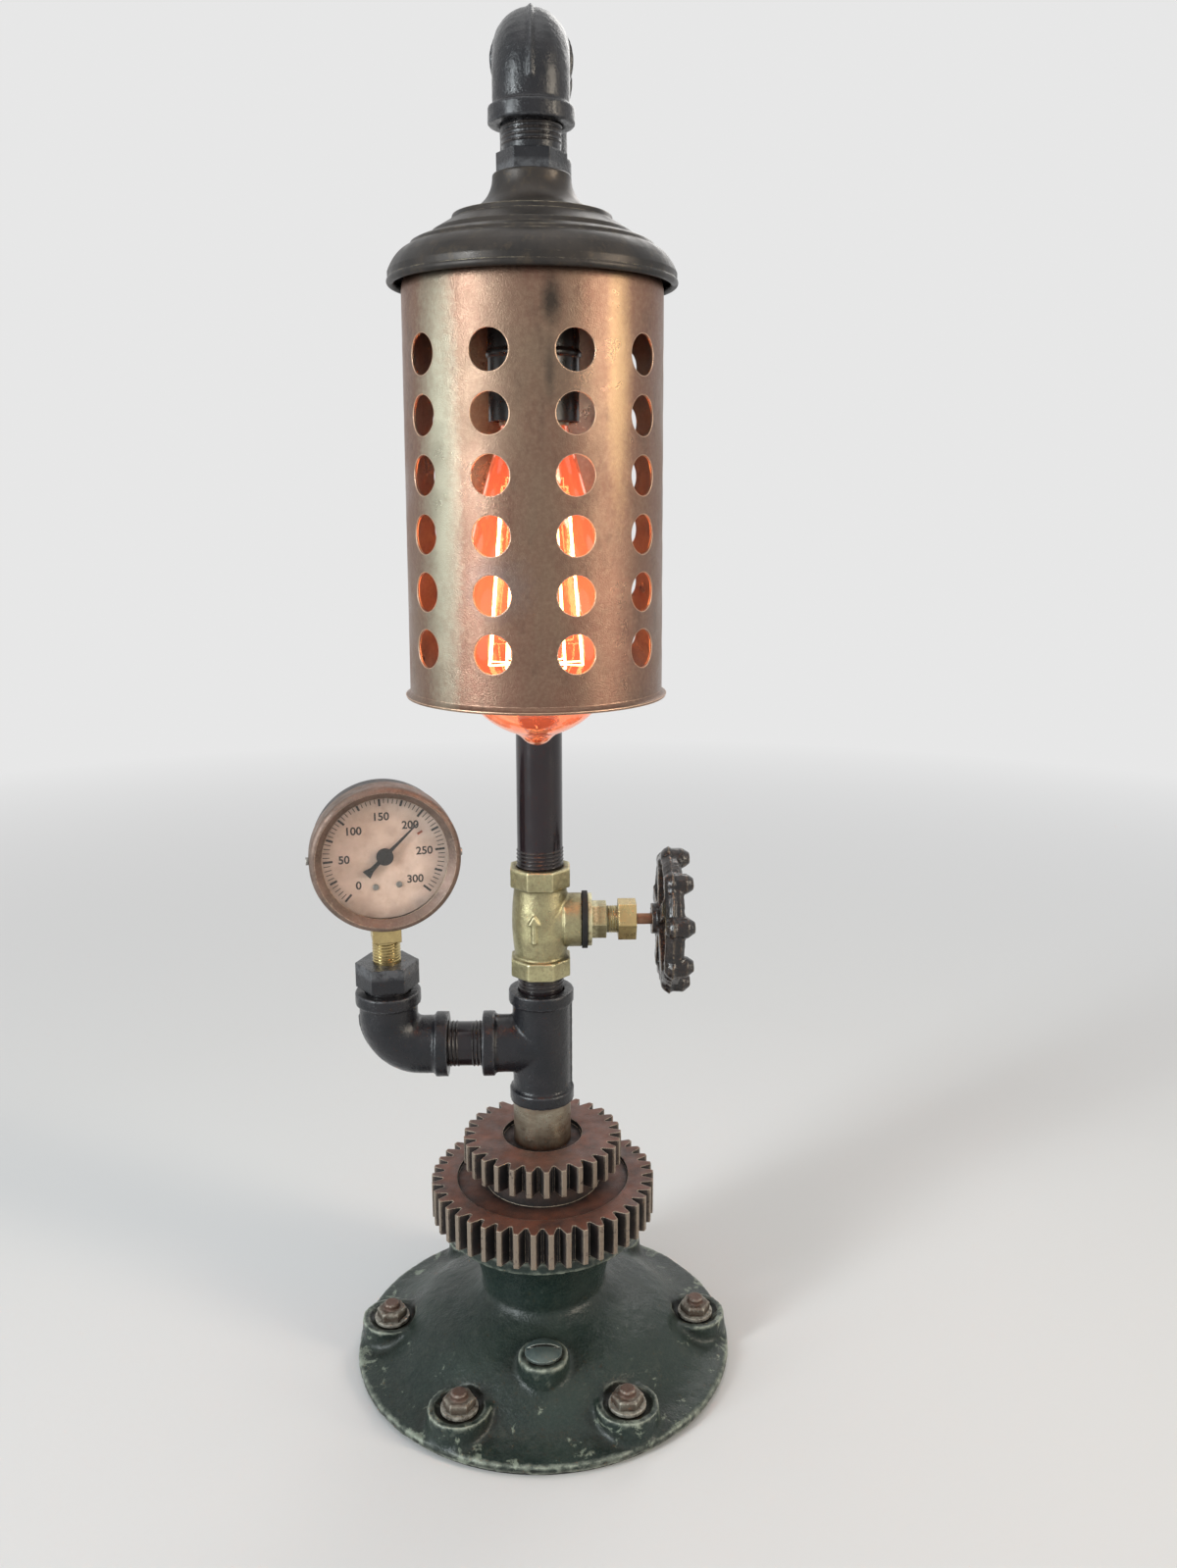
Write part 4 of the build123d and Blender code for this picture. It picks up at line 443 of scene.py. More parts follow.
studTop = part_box("flange_bolts")[1].z
looks = {
    "castingPaint": {
        "base": (0.009, 0.018, 0.0155), "patch": (0.018, 0.031, 0.026), "patchScale": 20.0,
        "speck": (0.055, 0.062, 0.048), "speckAmount": 0.3, "worn": (0.34, 0.37, 0.30), "wornMetal": 0.1,
        "wearAmount": 0.9, "wearReach": 0.0012, "wearBreakup": 170.0, "dirtAndShade": (0.012, 0.010, 0.007),
        "dirtAndShadeAmount": 1.4, "dirtAndShadeReach": 0.010, "dust": 0.12, "dustColour": (0.070, 0.070, 0.050),
        "roughness": (0.20, 0.40), "coat": 0.08, "coatRoughness": 0.2, "specular": 0.26, "grain": 800.0,
        "swell": 70.0, "swellShare": 0.45, "bump": 0.75, "bumpDepth": 0.0008,
        "fleck": {"colour": (0.045, 0.060, 0.048), "scale": 700.0, "amount": 0.35},
        "crest": {"Level": 0.508, "Breakup": 190.0, "Amount": 0.95},
        "rings": [
            {"colour": (0.19, 0.22, 0.17), "from": 0.055, "to": 0.0945, "gain": 0.16, "scale": 95.0,
             "level": 0.70}]},
    "boltRust": {
        "base": (0.195, 0.175, 0.140), "patch": (0.095, 0.062, 0.044), "patchScale": 110.0,
        "speck": (0.34, 0.335, 0.285), "speckAmount": 0.7, "worn": (0.58, 0.56, 0.48), "wearAmount": 0.6,
        "wearReach": 0.0005, "metal": 0.45, "roughness": (0.34, 0.60), "grain": 2400.0, "bump": 0.7,
        "bumpDepth": 0.0004, "dirtAndShade": (0.03, 0.016, 0.010), "dirtAndShadeAmount": 1.3,
        "crest": {"Level": 0.515, "Breakup": 420.0, "Amount": 0.6},
        "band": {"colour": (0.105, 0.056, 0.040), "heights": (studTop - 3.2 * mm, studTop - 2.6 * mm)}},
    "plugIron": {
        "base": (0.045, 0.068, 0.064), "patch": (0.085, 0.110, 0.100), "patchScale": 90.0,
        "worn": (0.42, 0.44, 0.39), "wearAmount": 0.85, "metal": 0.3, "roughness": (0.38, 0.56),
        "bump": 0.6, "dirtAndShadeAmount": 1.2},
    "collarZinc": {
        "base": (0.34, 0.31, 0.24), "patch": (0.23, 0.19, 0.14), "patchScale": 60.0,
        "stretch": (1, 1, 2.5), "speck": (0.16, 0.09, 0.05), "speckAmount": 0.5,
        "worn": (0.6, 0.56, 0.46), "metal": 0.85, "wornMetal": 0.85, "roughness": (0.22, 0.42),
        "grain": 2200.0, "bump": 0.15, "dirtAndShade": (0.10, 0.05, 0.03), "dirtAndShadeAmount": 1.3, "dirtAndShadeReach": 0.008},
    "smallSteel": {
        "base": (0.48, 0.47, 0.44), "patch": (0.36, 0.34, 0.31), "worn": (0.68, 0.66, 0.6), "metal": 0.9,
        "wornMetal": 0.9, "roughness": (0.26, 0.42), "grain": 2600.0, "bump": 0.1},
    "pipeLacquer": {
        "base": (0.008, 0.006, 0.008), "patch": (0.014, 0.009, 0.011), "patchScale": 40.0,
        "stretch": (1, 1, 0.3), "worn": (0.15, 0.13, 0.12), "wearAmount": 0.2, "roughness": (0.16, 0.28),
        "coat": 0.3, "coatRoughness": 0.1, "specular": 0.32, "grain": 1500.0, "bump": 0.12,
        "dirtAndShadeAmount": 0.3},
    "threadIron": {
        "base": (0.012, 0.011, 0.012), "patch": (0.030, 0.024, 0.022), "patchScale": 150.0,
        "worn": (0.34, 0.32, 0.31), "wornMetal": 0.9, "wearAmount": 1.3, "wearReach": 0.00014,
        "wearBreakup": 600.0, "roughness": (0.20, 0.36), "specular": 0.4, "bump": 0.1, "dirtAndShadeAmount": 0.8,
        "dirtAndShadeReach": 0.0008},
    "threadBrass": {
        "base": (0.60, 0.48, 0.22), "patch": (0.45, 0.35, 0.16), "patchScale": 180.0,
        "worn": (0.86, 0.78, 0.48), "metal": 1.0, "wornMetal": 1.0, "wearAmount": 1.2,
        "wearReach": 0.00014, "wearBreakup": 600.0, "roughness": (0.18, 0.32), "bump": 0.1,
        "dirtAndShade": (0.05, 0.035, 0.015), "dirtAndShadeAmount": 1.2, "dirtAndShadeReach": 0.0008},
    "fittingIron": {
        "base": (0.0065, 0.0075, 0.010), "patch": (0.012, 0.0115, 0.014), "patchScale": 70.0,
        "worn": (0.17, 0.175, 0.185), "wearAmount": 0.45, "wearReach": 0.0009, "wearBreakup": 330.0,
        "roughness": (0.16, 0.34), "coat": 0.16, "coatRoughness": 0.22, "specular": 0.34, "grain": 1100.0,
        "swell": 260.0, "swellShare": 0.35, "bump": 0.9, "bumpDepth": 0.0004, "dirtAndShadeAmount": 0.3,
        "dust": 0.03, "crest": {"Level": 0.514, "Breakup": 330.0, "Amount": 0.4}},
    "castBrass": {
        "base": (0.47, 0.435, 0.245), "patch": (0.33, 0.295, 0.170), "patchScale": 65.0,
        "speck": (0.20, 0.165, 0.10), "speckAmount": 0.5, "worn": (0.82, 0.77, 0.50), "metal": 0.9,
        "wornMetal": 1.0, "wearAmount": 0.7, "roughness": (0.26, 0.46), "grain": 1600.0, "swell": 300.0,
        "bump": 0.7, "bumpDepth": 0.0004, "dirtAndShade": (0.075, 0.055, 0.028), "dirtAndShadeAmount": 1.2,
        "dirtAndShadeReach": 0.009, "fleck": {"colour": (0.25, 0.21, 0.12), "scale": 900.0, "amount": 0.5},
        "crest": {"Level": 0.512, "Breakup": 330.0, "Amount": 0.7}},
    "turnedBrass": {
        "base": (0.58, 0.45, 0.21), "patch": (0.47, 0.36, 0.17), "patchScale": 120.0,
        "worn": (0.84, 0.73, 0.44), "metal": 0.95, "wornMetal": 0.95, "wearAmount": 0.5,
        "roughness": (0.22, 0.38), "grain": 3000.0, "bump": 0.12, "dirtAndShade": (0.06, 0.042, 0.018),
        "dirtAndShadeAmount": 0.9},
    "stemBronze": {
        "base": (0.52, 0.27, 0.17), "patch": (0.38, 0.20, 0.12), "patchScale": 150.0,
        "worn": (0.7, 0.45, 0.3), "metal": 0.9, "wornMetal": 0.9, "roughness": (0.28, 0.42),
        "grain": 3000.0, "bump": 0.12, "dirtAndShadeAmount": 0.7},
    "gasketFibre": {
        "base": (0.010, 0.009, 0.009), "patch": (0.020, 0.018, 0.016), "worn": (0.06, 0.055, 0.05),
        "wornMetal": 0.0, "roughness": (0.6, 0.8), "specular": 0.3, "grain": 3000.0, "bump": 0.4},
    "wheelPaint": {
        "base": (0.0055, 0.005, 0.0055), "patch": (0.014, 0.009, 0.007), "patchScale": 95.0,
        "speck": (0.10, 0.048, 0.026), "speckAmount": 0.35, "worn": (0.40, 0.30, 0.20), "wornMetal": 0.5,
        "wearAmount": 0.7, "wearReach": 0.0010, "wearBreakup": 210.0, "roughness": (0.10, 0.30),
        "coat": 0.3, "coatRoughness": 0.08, "specular": 0.38, "grain": 900.0, "swell": 190.0, "bump": 0.8,
        "bumpDepth": 0.0006, "dirtAndShadeAmount": 0.4,
        "crest": {"Level": 0.515, "Breakup": 260.0, "Amount": 0.8}},
    "caseBlack": {
        "base": (0.020, 0.019, 0.019), "patch": (0.035, 0.029, 0.026), "worn": (0.24, 0.17, 0.12),
        "wearAmount": 0.5, "roughness": (0.35, 0.5), "bump": 0.2},
    "bezelBronze": {
        "base": (0.185, 0.118, 0.092), "patch": (0.110, 0.074, 0.058), "patchScale": 80.0,
        "speck": (0.30, 0.24, 0.18), "speckAmount": 0.4, "worn": (0.52, 0.41, 0.31), "metal": 0.45,
        "wornMetal": 0.9, "wearAmount": 0.95, "roughness": (0.40, 0.62), "grain": 2200.0, "bump": 0.5,
        "bumpDepth": 0.0003, "dirtAndShadeAmount": 0.7, "dust": 0.3, "dustColour": (0.22, 0.18, 0.14),
        "fleck": {"colour": (0.26, 0.20, 0.155), "scale": 1100.0, "amount": 0.4}},
    "capBronze": {
        "base": (0.050, 0.043, 0.038), "patch": (0.030, 0.028, 0.027), "patchScale": 38.0,
        "speck": (0.10, 0.075, 0.05), "speckAmount": 0.35, "worn": (0.46, 0.40, 0.28), "metal": 0.75,
        "wornMetal": 0.95, "wearAmount": 0.95, "wearReach": 0.0009, "wearBreakup": 250.0,
        "roughness": (0.32, 0.50), "grain": 1500.0, "bump": 0.3, "dirtAndShadeAmount": 0.8, "dust": 0.12},
    "shadeBrass": {
        "base": (0.200, 0.105, 0.074), "patch": (0.208, 0.142, 0.098), "patchScale": 17.0,
        "softness": 0.11, "stretch": (1, 1, 0.42), "speck": (0.110, 0.066, 0.050), "speckAmount": 0.5,
        "worn": (0.82, 0.55, 0.38), "metal": 0.85, "wornMetal": 1.0, "wearAmount": 1.4,
        "wearReach": 0.0007, "wearBreakup": 240.0, "dirtAndShade": (0.06, 0.036, 0.026), "dirtAndShadeAmount": 0.5,
        "roughness": (0.26, 0.46), "grain": 1900.0, "swell": 30.0, "swellShare": 0.55, "bump": 0.5,
        "bumpDepth": 0.0006, "fleck": {"colour": (0.33, 0.235, 0.160), "scale": 620.0, "amount": 0.30},
        "stainsAndHighlights": [
            # painted highlight: a pale silvery band down the left of the shade
            {"colour": (0.46, 0.455, 0.345), "place": (-0.033, -0.108, 0.43),
             "reach": (0.0075, 0.03, 0.11), "amount": 0.72},
            # painted highlight: a golden streak high on the right
            {"colour": (0.50, 0.35, 0.185), "place": (0.030, -0.111, 0.47), "reach": (0.0045, 0.03, 0.05),
             "amount": 0.5},
            {"colour": (0.15, 0.14, 0.145), "place": (-0.012, -0.121, 0.395),
             "reach": (0.012, 0.03, 0.012), "amount": 0.35},
            {"colour": (0.050, 0.040, 0.034), "place": (0.0060, -0.1248, 0.468),
             "reach": (0.0020, 0.006, 0.011), "amount": 0.55},
            {"colour": (0.030, 0.026, 0.022), "place": (0.0066, -0.1245, 0.490),
             "reach": (0.0038, 0.006, 0.0085), "amount": 0.85}]},
    "socketBlack": {
        "base": (0.010, 0.010, 0.010), "patch": (0.018, 0.016, 0.014), "worn": (0.2, 0.15, 0.10),
        "wearAmount": 0.4, "roughness": (0.22, 0.34), "bump": 0.1},
    "felt": {
        "base": (0.022, 0.026, 0.022), "patch": (0.036, 0.040, 0.034), "patchScale": 300.0,
        "worn": (0.05, 0.05, 0.045), "wornMetal": 0.0, "roughness": (0.9, 1.0), "grain": 4000.0,
        "bump": 0.8},
    "rubber": {
        "base": (0.014, 0.014, 0.014), "patch": (0.022, 0.022, 0.022), "worn": (0.04, 0.04, 0.04),
        "wornMetal": 0.0, "roughness": (0.55, 0.75), "bump": 0.3},
    "porcelain": {
        "base": (0.80, 0.78, 0.72), "patch": (0.72, 0.69, 0.61), "worn": (0.85, 0.84, 0.80),
        "wornMetal": 0.0, "roughness": (0.15, 0.25), "coat": 0.4, "bump": 0.05},
    "fibreCard": {
        "base": (0.40, 0.29, 0.17), "patch": (0.33, 0.23, 0.13), "worn": (0.45, 0.36, 0.24),
        "wornMetal": 0.0, "roughness": (0.7, 0.85), "bump": 0.3},
    "bulbCap": {
        "base": (0.60, 0.53, 0.40), "patch": (0.48, 0.41, 0.29), "worn": (0.78, 0.73, 0.62), "metal": 1.0,
        "wornMetal": 1.0, "roughness": (0.22, 0.36), "bump": 0.1},
    "blackGlass": {
        "base": (0.012, 0.012, 0.015), "patch": (0.018, 0.018, 0.022), "worn": (0.04, 0.04, 0.04),
        "wornMetal": 0.0, "roughness": (0.08, 0.15), "bump": 0.02},
    "needlePaint": {
        "base": (0.008, 0.008, 0.008), "patch": (0.014, 0.013, 0.012), "worn": (0.05, 0.05, 0.05),
        "wornMetal": 0.0, "roughness": (0.40, 0.55), "specular": 0.3, "bump": 0.05},
    # aged cream paper, its pink tint partly painted light from the bulb
    "dialPaper": {
        "base": (0.70, 0.53, 0.44), "patch": (0.63, 0.47, 0.385), "patchScale": 45.0,
        "speck": (0.42, 0.29, 0.22), "speckAmount": 0.25, "worn": (0.5, 0.42, 0.36), "wornMetal": 0.0,
        "dirtAndShade": (0.26, 0.18, 0.13), "dirtAndShadeAmount": 0.5, "dirtAndShadeReach": 0.008, "roughness": (0.55, 0.75),
        "bump": 0.1},
    "dialInk": {
        "base": (0.012, 0.011, 0.011), "patch": (0.030, 0.026, 0.024), "patchScale": 300.0,
        "worn": (0.06, 0.05, 0.05), "wornMetal": 0.0, "roughness": (0.55, 0.7), "specular": 0.3,
        "bump": 0.05},
    "dialRed": {
        "base": (0.45, 0.085, 0.035), "patch": (0.36, 0.08, 0.04), "patchScale": 300.0,
        "worn": (0.45, 0.2, 0.15), "wornMetal": 0.0, "roughness": (0.55, 0.7), "bump": 0.05},
}
gearRust = {
    "base": (0.036, 0.026, 0.023), "patch": (0.052, 0.031, 0.025), "patchScale": 55.0,
    "speck": (0.15, 0.075, 0.05), "speckAmount": 0.4, "worn": (0.42, 0.35, 0.27), "wornMetal": 0.7,
    "wearAmount": 1.0, "wearReach": 0.0008, "wearBreakup": 330.0, "metal": 0.15,
    # near-black dirt and painted shade in the gaps between the teeth
    "dirtAndShade": (0.006, 0.005, 0.005), "dirtAndShadeAmount": 1.9, "dirtAndShadeReach": 0.007, "dust": 1.0,
    "dustColour": (0.185, 0.069, 0.042), "roughness": (0.36, 0.62), "grain": 1400.0, "swell": 160.0,
    "bump": 0.6, "bumpDepth": 0.0005,
    "fleck": {"colour": (0.085, 0.048, 0.036), "scale": 800.0, "amount": 0.45}}
toothWear = {"colour": (0.195, 0.150, 0.112), "gain": 0.5, "scale": 260.0, "level": 0.87}
toothDepth, toothTip = 1.7 * mm, 0.7 * mm  # where the wear starts and is full, in from the tips
for gear in ("lower_gear", "upper_gear"):
    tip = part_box(gear)[1].x
    ring = {**toothWear, "from": tip - toothDepth, "to": tip - toothTip}
    looks[gear + "Rust"] = {**gearRust, "rings": [ring]}
materials = {name: agedSurface(name, look) for name, look in looks.items()}


smearing = {"detail": 5.0, "ragged": 0.6, "patches": (0.42, 0.70), "ior": 1.45}


def makeGlass(name, glass):
    material, tree, shader = blankMaterial(name, Transmission_Weight=1.0, IOR=smearing["ior"], Metallic=0.0,
                                           Emission_Strength=glass["glow"])
    ragged = noise(tree, glass["smearScale"], smearing["detail"], smearing["ragged"])
    smears = spread(tree, ragged, *smearing["patches"])
    tree.links.new(blend(tree, smears, glass["tint"], glass["smear"]), shader.inputs["Base Color"])
    tree.links.new(spread(tree, smears, 0.0, 1.0, *glass["roughness"]), shader.inputs["Roughness"])
    if glass["glow"]:
        low, middle, high = glass["glowHeights"]
        height = upwards(tree, here(tree))
        rise = spread(tree, height, low, middle)
        fall = spread(tree, height, middle, high, 1.0, 0.0)
        glow = blend(tree, maths(tree, "MULTIPLY", rise, fall), (0.0, 0.0, 0.0), glass["glowColour"])
        tree.links.new(glow, shader.inputs["Emission Color"])
    # light passes on through the glass instead of leaving a black shadow behind it
    path = tree.nodes.new("ShaderNodeLightPath")
    solid = spread(tree, path.outputs["Is Shadow Ray"], 0.0, 1.0, 1.0, glass["shadow"])
    tree.links.new(solid, shader.inputs["Alpha"])
    return material


glasses = {
    "gaugeGlass": {
        "tint": (0.98, 0.985, 0.98), "smear": (0.86, 0.84, 0.80), "smearScale": 70.0,
        "roughness": (0.01, 0.10), "shadow": 0.12, "glow": 0.0},
    "amberGlass": {
        "tint": (1.0, 0.58, 0.38), "smear": (0.97, 0.52, 0.33), "smearScale": 30.0, "roughness": (0.01, 0.04),
        "shadow": 0.15, "glow": 0.36, "glowColour": (1.0, 0.22, 0.12), "glowHeights": (0.318, 0.385, 0.49)},
    "mountGlass": {
        "tint": (0.95, 0.96, 0.95), "smear": (0.9, 0.9, 0.88), "smearScale": 60.0, "roughness": (0.01, 0.05),
        "shadow": 0.3, "glow": 0.0},
}
materials.update({name: makeGlass(name, glass) for name, glass in glasses.items()})


def directRay(tree):
    # one where the eye sees the surface itself, also through glass or in a mirror
    path = tree.nodes.new("ShaderNodeLightPath")
    seen = maths(tree, "MAXIMUM", path.outputs["Is Camera Ray"], path.outputs["Is Glossy Ray"])
    return maths(tree, "MAXIMUM", seen, path.outputs["Is Transmission Ray"])


filament = {"light": (1.0, 0.21, 0.095), "colour": (1.0, 0.60, 0.30), "hot": (1.0, 0.80, 0.52),
            "strength": 22.0, "roughness": 0.5, "scale": 120.0, "patches": (0.4, 0.6)}
materials["filament"], tree, shader = blankMaterial(
    "filament", Roughness=filament["roughness"], Emission_Strength=filament["strength"])
hotter = spread(tree, noise(tree, filament["scale"]), *filament["patches"])
wire = blend(tree, hotter, filament["colour"], filament["hot"])
tree.links.new(blend(tree, directRay(tree), filament["light"], wire), shader.inputs["Emission Color"])
tree.links.new(wire, shader.inputs["Base Color"])
print("materials made:", len(materials))

nodeFinishes = {
    "felt": ["base_felt"], "rubber": ["cord_grommet"], "castingPaint": ["base_casting"],
    "boltRust": ["bolt_washers", "flange_bolts"], "plugIron": ["filler_plug"],
    "lower_gearRust": ["lower_gear"], "upper_gearRust": ["upper_gear"],
    "collarZinc": ["pipe_collar", "locknut_washer", "column_locknut", "lamp_tube", "tube_nuts"],
    "smallSteel": ["wheel_nut", "bezel_screws", "dial_screws", "needle_arbor"],
    "pipeLacquer": ["column_nipple", "branch_nipple", "valve_nipple", "riser_pipe", "arm_nipple"],
    "fittingIron": ["tee", "gauge_elbow", "back_elbow", "front_elbow", "gauge_bushing", "top_bushing"],
    "castBrass": ["valve_body", "valve_bonnet", "valve_disc"], "stemBronze": ["valve_stem"],
    "turnedBrass": ["packing_nut", "gauge_socket", "movement_frame", "sector_gear", "bourdon_tube",
                    "movement_link", "screw_shell", "centre_contact"],
    "gasketFibre": ["bonnet_gasket", "packing_ring"], "wheelPaint": ["handwheel"],
    "caseBlack": ["gauge_case"], "bezelBronze": ["gauge_bezel"], "gaugeGlass": ["gauge_lens"],
    "dialPaper": ["gauge_dial"], "needlePaint": ["gauge_needle"],
    "capBronze": ["shade_cap"], "shadeBrass": ["shade"],
    "socketBlack": ["socket_cap", "socket_shell"], "fibreCard": ["socket_liner"],
    "porcelain": ["socket_insulator"], "bulbCap": ["bulb_base", "bulb_button"],
    "blackGlass": ["bulb_insulator"], "amberGlass": ["bulb_glass"], "mountGlass": ["bulb_mount"],
    "filament": ["bulb_filament"],
}
for name, members in nodeFinishes.items():
    for member in members:
        paint(nodes[member], materials[name])
bare = set(nodes) - {member for members in nodeFinishes.values() for member in members}
print("nodes painted, left bare:", sorted(bare))

# the lamp's own levels and middles, read from the frame
teeBox, valveBox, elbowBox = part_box("tee"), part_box("valve_body"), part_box("back_elbow")
frontElbowBox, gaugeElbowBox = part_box("front_elbow"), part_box("gauge_elbow")
hexBox, nutBox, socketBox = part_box("gauge_bushing"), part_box("packing_nut"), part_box("gauge_socket")
shadeBox, bulbBaseBox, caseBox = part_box("shade"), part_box("bulb_base"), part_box("gauge_case")
elbowReach = 28.5 * mm  # from an elbow's open face to the axis of its other leg
armY = (shadeBox[0].y + shadeBox[1].y) / 2
armZ = elbowBox[0].z + elbowReach
gaugeX = (socketBox[0].x + socketBox[1].x) / 2
stemZ = (nutBox[0].z + nutBox[1].z) / 2
branchZ = gaugeElbowBox[1].z - elbowReach

# tall is the height of a circle of three corners and a radius of one
ridgeForm = {"corners": 3, "tall": 1.5, "halfWidth": 0.55, "sunk": 0.2, "steps": 30, "angle": 50}


def makeThread(name, face, along, thread, finish, body):
    # a ridge wound on a pipe along its axis, which starts behind a face, or in front of it
    # where behind is negative
    start = Vector(face) - Vector(along) * thread["behind"] * mm
    height, sunk, pitch = thread["height"] * mm, ridgeForm["sunk"] * mm, thread["pitch"] * mm
    bpy.ops.mesh.primitive_circle_add(vertices=thread.get("corners", ridgeForm["corners"]), radius=1,
                                      rotation=(math.pi / 2, math.pi / 2, 0))
    ridge = bpy.context.object
    ridge.scale = (pitch * ridgeForm["halfWidth"], (height + sunk) / ridgeForm["tall"], 1)
    ridge.location = (thread["radius"] * mm - sunk + (height + sunk) / 3, 0, 0)
    settle(ridge, name)
    screw = ridge.modifiers.new("wind", "SCREW")
    screw.axis = "Z"
    screw.screw_offset = pitch
    screw.iterations = thread["turns"]
    screw.steps = ridgeForm["steps"]
    screw.render_steps = ridgeForm["steps"]
    applyModifiers(ridge)
    closeUp(ridge)
    turn = Vector((0, 0, 1)).rotation_difference(Vector(along)).to_matrix().to_4x4()
    settle(ridge, name, Matrix.Translation(start) @ turn)
    smooth(ridge, ridgeForm["angle"])
    return declare(ridge, body, materials[finish])


up, down, left, right, forwards, back = (0, 0, 1), (0, 0, -1), (-1, 0, 0), (1, 0, 0), (0, -1, 0), (0, 1, 0)
pipeThread = {"radius": 10.65, "pitch": 1.814, "height": 0.42, "behind": 0.6, "turns": 4}
pipeEnds = {
    "valveNippleThread": {"face": (0, 0, teeBox[1].z), "along": up, "behind": -0.3},
    "riserFootThread": {"face": (0, 0, valveBox[1].z), "along": up, "turns": 5},
    "riserTopThread": {"face": (0, 0, elbowBox[0].z), "along": down},
    "armBackThread": {"face": (0, elbowBox[0].y, armZ), "along": forwards},
    "armFrontThread": {"face": (0, frontElbowBox[1].y, armZ), "along": back},
    "branchTeeThread": {"face": (teeBox[0].x, 0, branchZ), "along": left, "turns": 3},
    "branchElbowThread": {"face": (gaugeElbowBox[1].x, 0, branchZ), "along": right, "turns": 3},
    "topBushingThread": {"face": (0, armY, frontElbowBox[0].z), "along": down, "behind": 0.4},
}
for name, end in pipeEnds.items():
    makeThread(name, end["face"], end["along"], {**pipeThread, **end}, "threadIron", "lamp")
gaugeThread = {"radius": 6.3, "pitch": 1.411, "height": 0.42, "turns": 7, "behind": -0.3}
makeThread("gaugeThread", (gaugeX, 0, hexBox[1].z), up, gaugeThread, "threadBrass", "lamp")
bonnetThread = {"radius": 6.35, "pitch": 1.1, "height": 0.3, "turns": 4, "behind": 5.1}
makeThread("bonnetThread", (nutBox[0].x, 0, stemZ), right, bonnetThread, "threadBrass", "lamp")
bulbThread = {"radius": 13.1, "pitch": 3.63, "height": 0.42, "turns": 4, "corners": 8, "behind": -3.0}
makeThread("bulbThread", (0, armY, bulbBaseBox[0].z), up, bulbThread, "bulbCap", "bulb")
print("threads wound")


casting = {"softness": 0.5, "cloudDepth": 2, "angle": 60}


def castCopy(node, cast, body, finish, extras=()):
    # the node's own shape with soft corners, joined to its cast-on details and left lumpy by the mould
    name = node + "_cast"
    piece = joinPieces([copyNode(node, name), *extras], name)
    remesh = piece.modifiers.new("blendTogether", "REMESH")
    remesh.mode = "VOXEL"
    remesh.voxel_size = cast["voxel"] * mm
    soften = piece.modifiers.new("soften", "SMOOTH")
    soften.factor = casting["softness"]
    soften.iterations = cast["passes"]
    for scale, depth in cast["lumps"]:
        cloud = bpy.data.textures.new(name, "CLOUDS")
        cloud.noise_scale = scale * mm
        cloud.noise_depth = casting["cloudDepth"]
        sink = piece.modifiers.new("sink", "DISPLACE")
        sink.texture = cloud
        sink.strength = depth * mm
        sink.mid_level = 1.0  # the lumps only go inwards
    applyModifiers(piece)
    smooth(piece, casting["angle"])
    return declare(piece, body, materials[finish], [node])


seamForm = {"corners": 8, "radius": 0.95, "bend": 15.5, "reach": 29.55, "steps": 18, "side": 14, "collar": 6,
            "branchEnd": 13}


def bendBead(centre, first, second):
    # the seam of the mould round the outside of a bend
    first, second, centre = Vector(first), Vector(second), Vector(centre)
    lie = Vector((0, 0, 1)).rotation_difference(second)
    bpy.ops.mesh.primitive_circle_add(
        vertices=seamForm["corners"], radius=seamForm["radius"] * mm, fill_type="NGON",
        location=centre + first * seamForm["reach"] * mm, rotation=lie.to_euler())
    bead = settle(bpy.context.object, "bead")
    bpy.ops.object.mode_set(mode="EDIT")
    bpy.ops.mesh.select_all(action="SELECT")
    bpy.ops.mesh.spin(steps=seamForm["steps"], angle=math.pi / 2, center=centre, axis=second.cross(first))
    bpy.ops.object.mode_set(mode="OBJECT")
    return closeUp(bead)


def straightBead(start, end):
    # the same seam along a straight side
    start, end = Vector(start), Vector(end)
    lie = Vector((0, 0, 1)).rotation_difference(end - start)
    bpy.ops.mesh.primitive_cylinder_add(
        vertices=seamForm["corners"], radius=seamForm["radius"] * mm, depth=(end - start).length,
        location=(start + end) / 2, rotation=lie.to_euler())
    return settle(bpy.context.object, "bead")


arrowForm = {"middle": (-3.0, -13.6, -1.5), "height": 12, "head": 3.3, "thickness": 2.0, "width": 2.0,
             "drop": 1}


def flowArrow():
    # a plain arrow cast on the valve, pointing up
    x, y, z = arrowForm["middle"]
    middle = Vector((x * mm, y * mm, stemZ + z * mm))
    height, thickness, drop = arrowForm["height"] * mm, arrowForm["thickness"] * mm, arrowForm["drop"] * mm
    bpy.ops.mesh.primitive_cylinder_add(vertices=3, radius=arrowForm["head"] * mm, depth=thickness,
                                        rotation=(math.pi / 2, 0, 0))
    raised = Matrix.Translation(middle + Vector((0, 0, height / 2 - drop)))
    head = settle(bpy.context.object, "arrow", raised)
    bpy.ops.mesh.primitive_cube_add(size=1, scale=(arrowForm["width"] * mm, thickness, height - 2 * drop))
    lowered = Matrix.Translation(middle - Vector((0, 0, drop)))
    return [head, settle(bpy.context.object, "arrowShaft", lowered)]


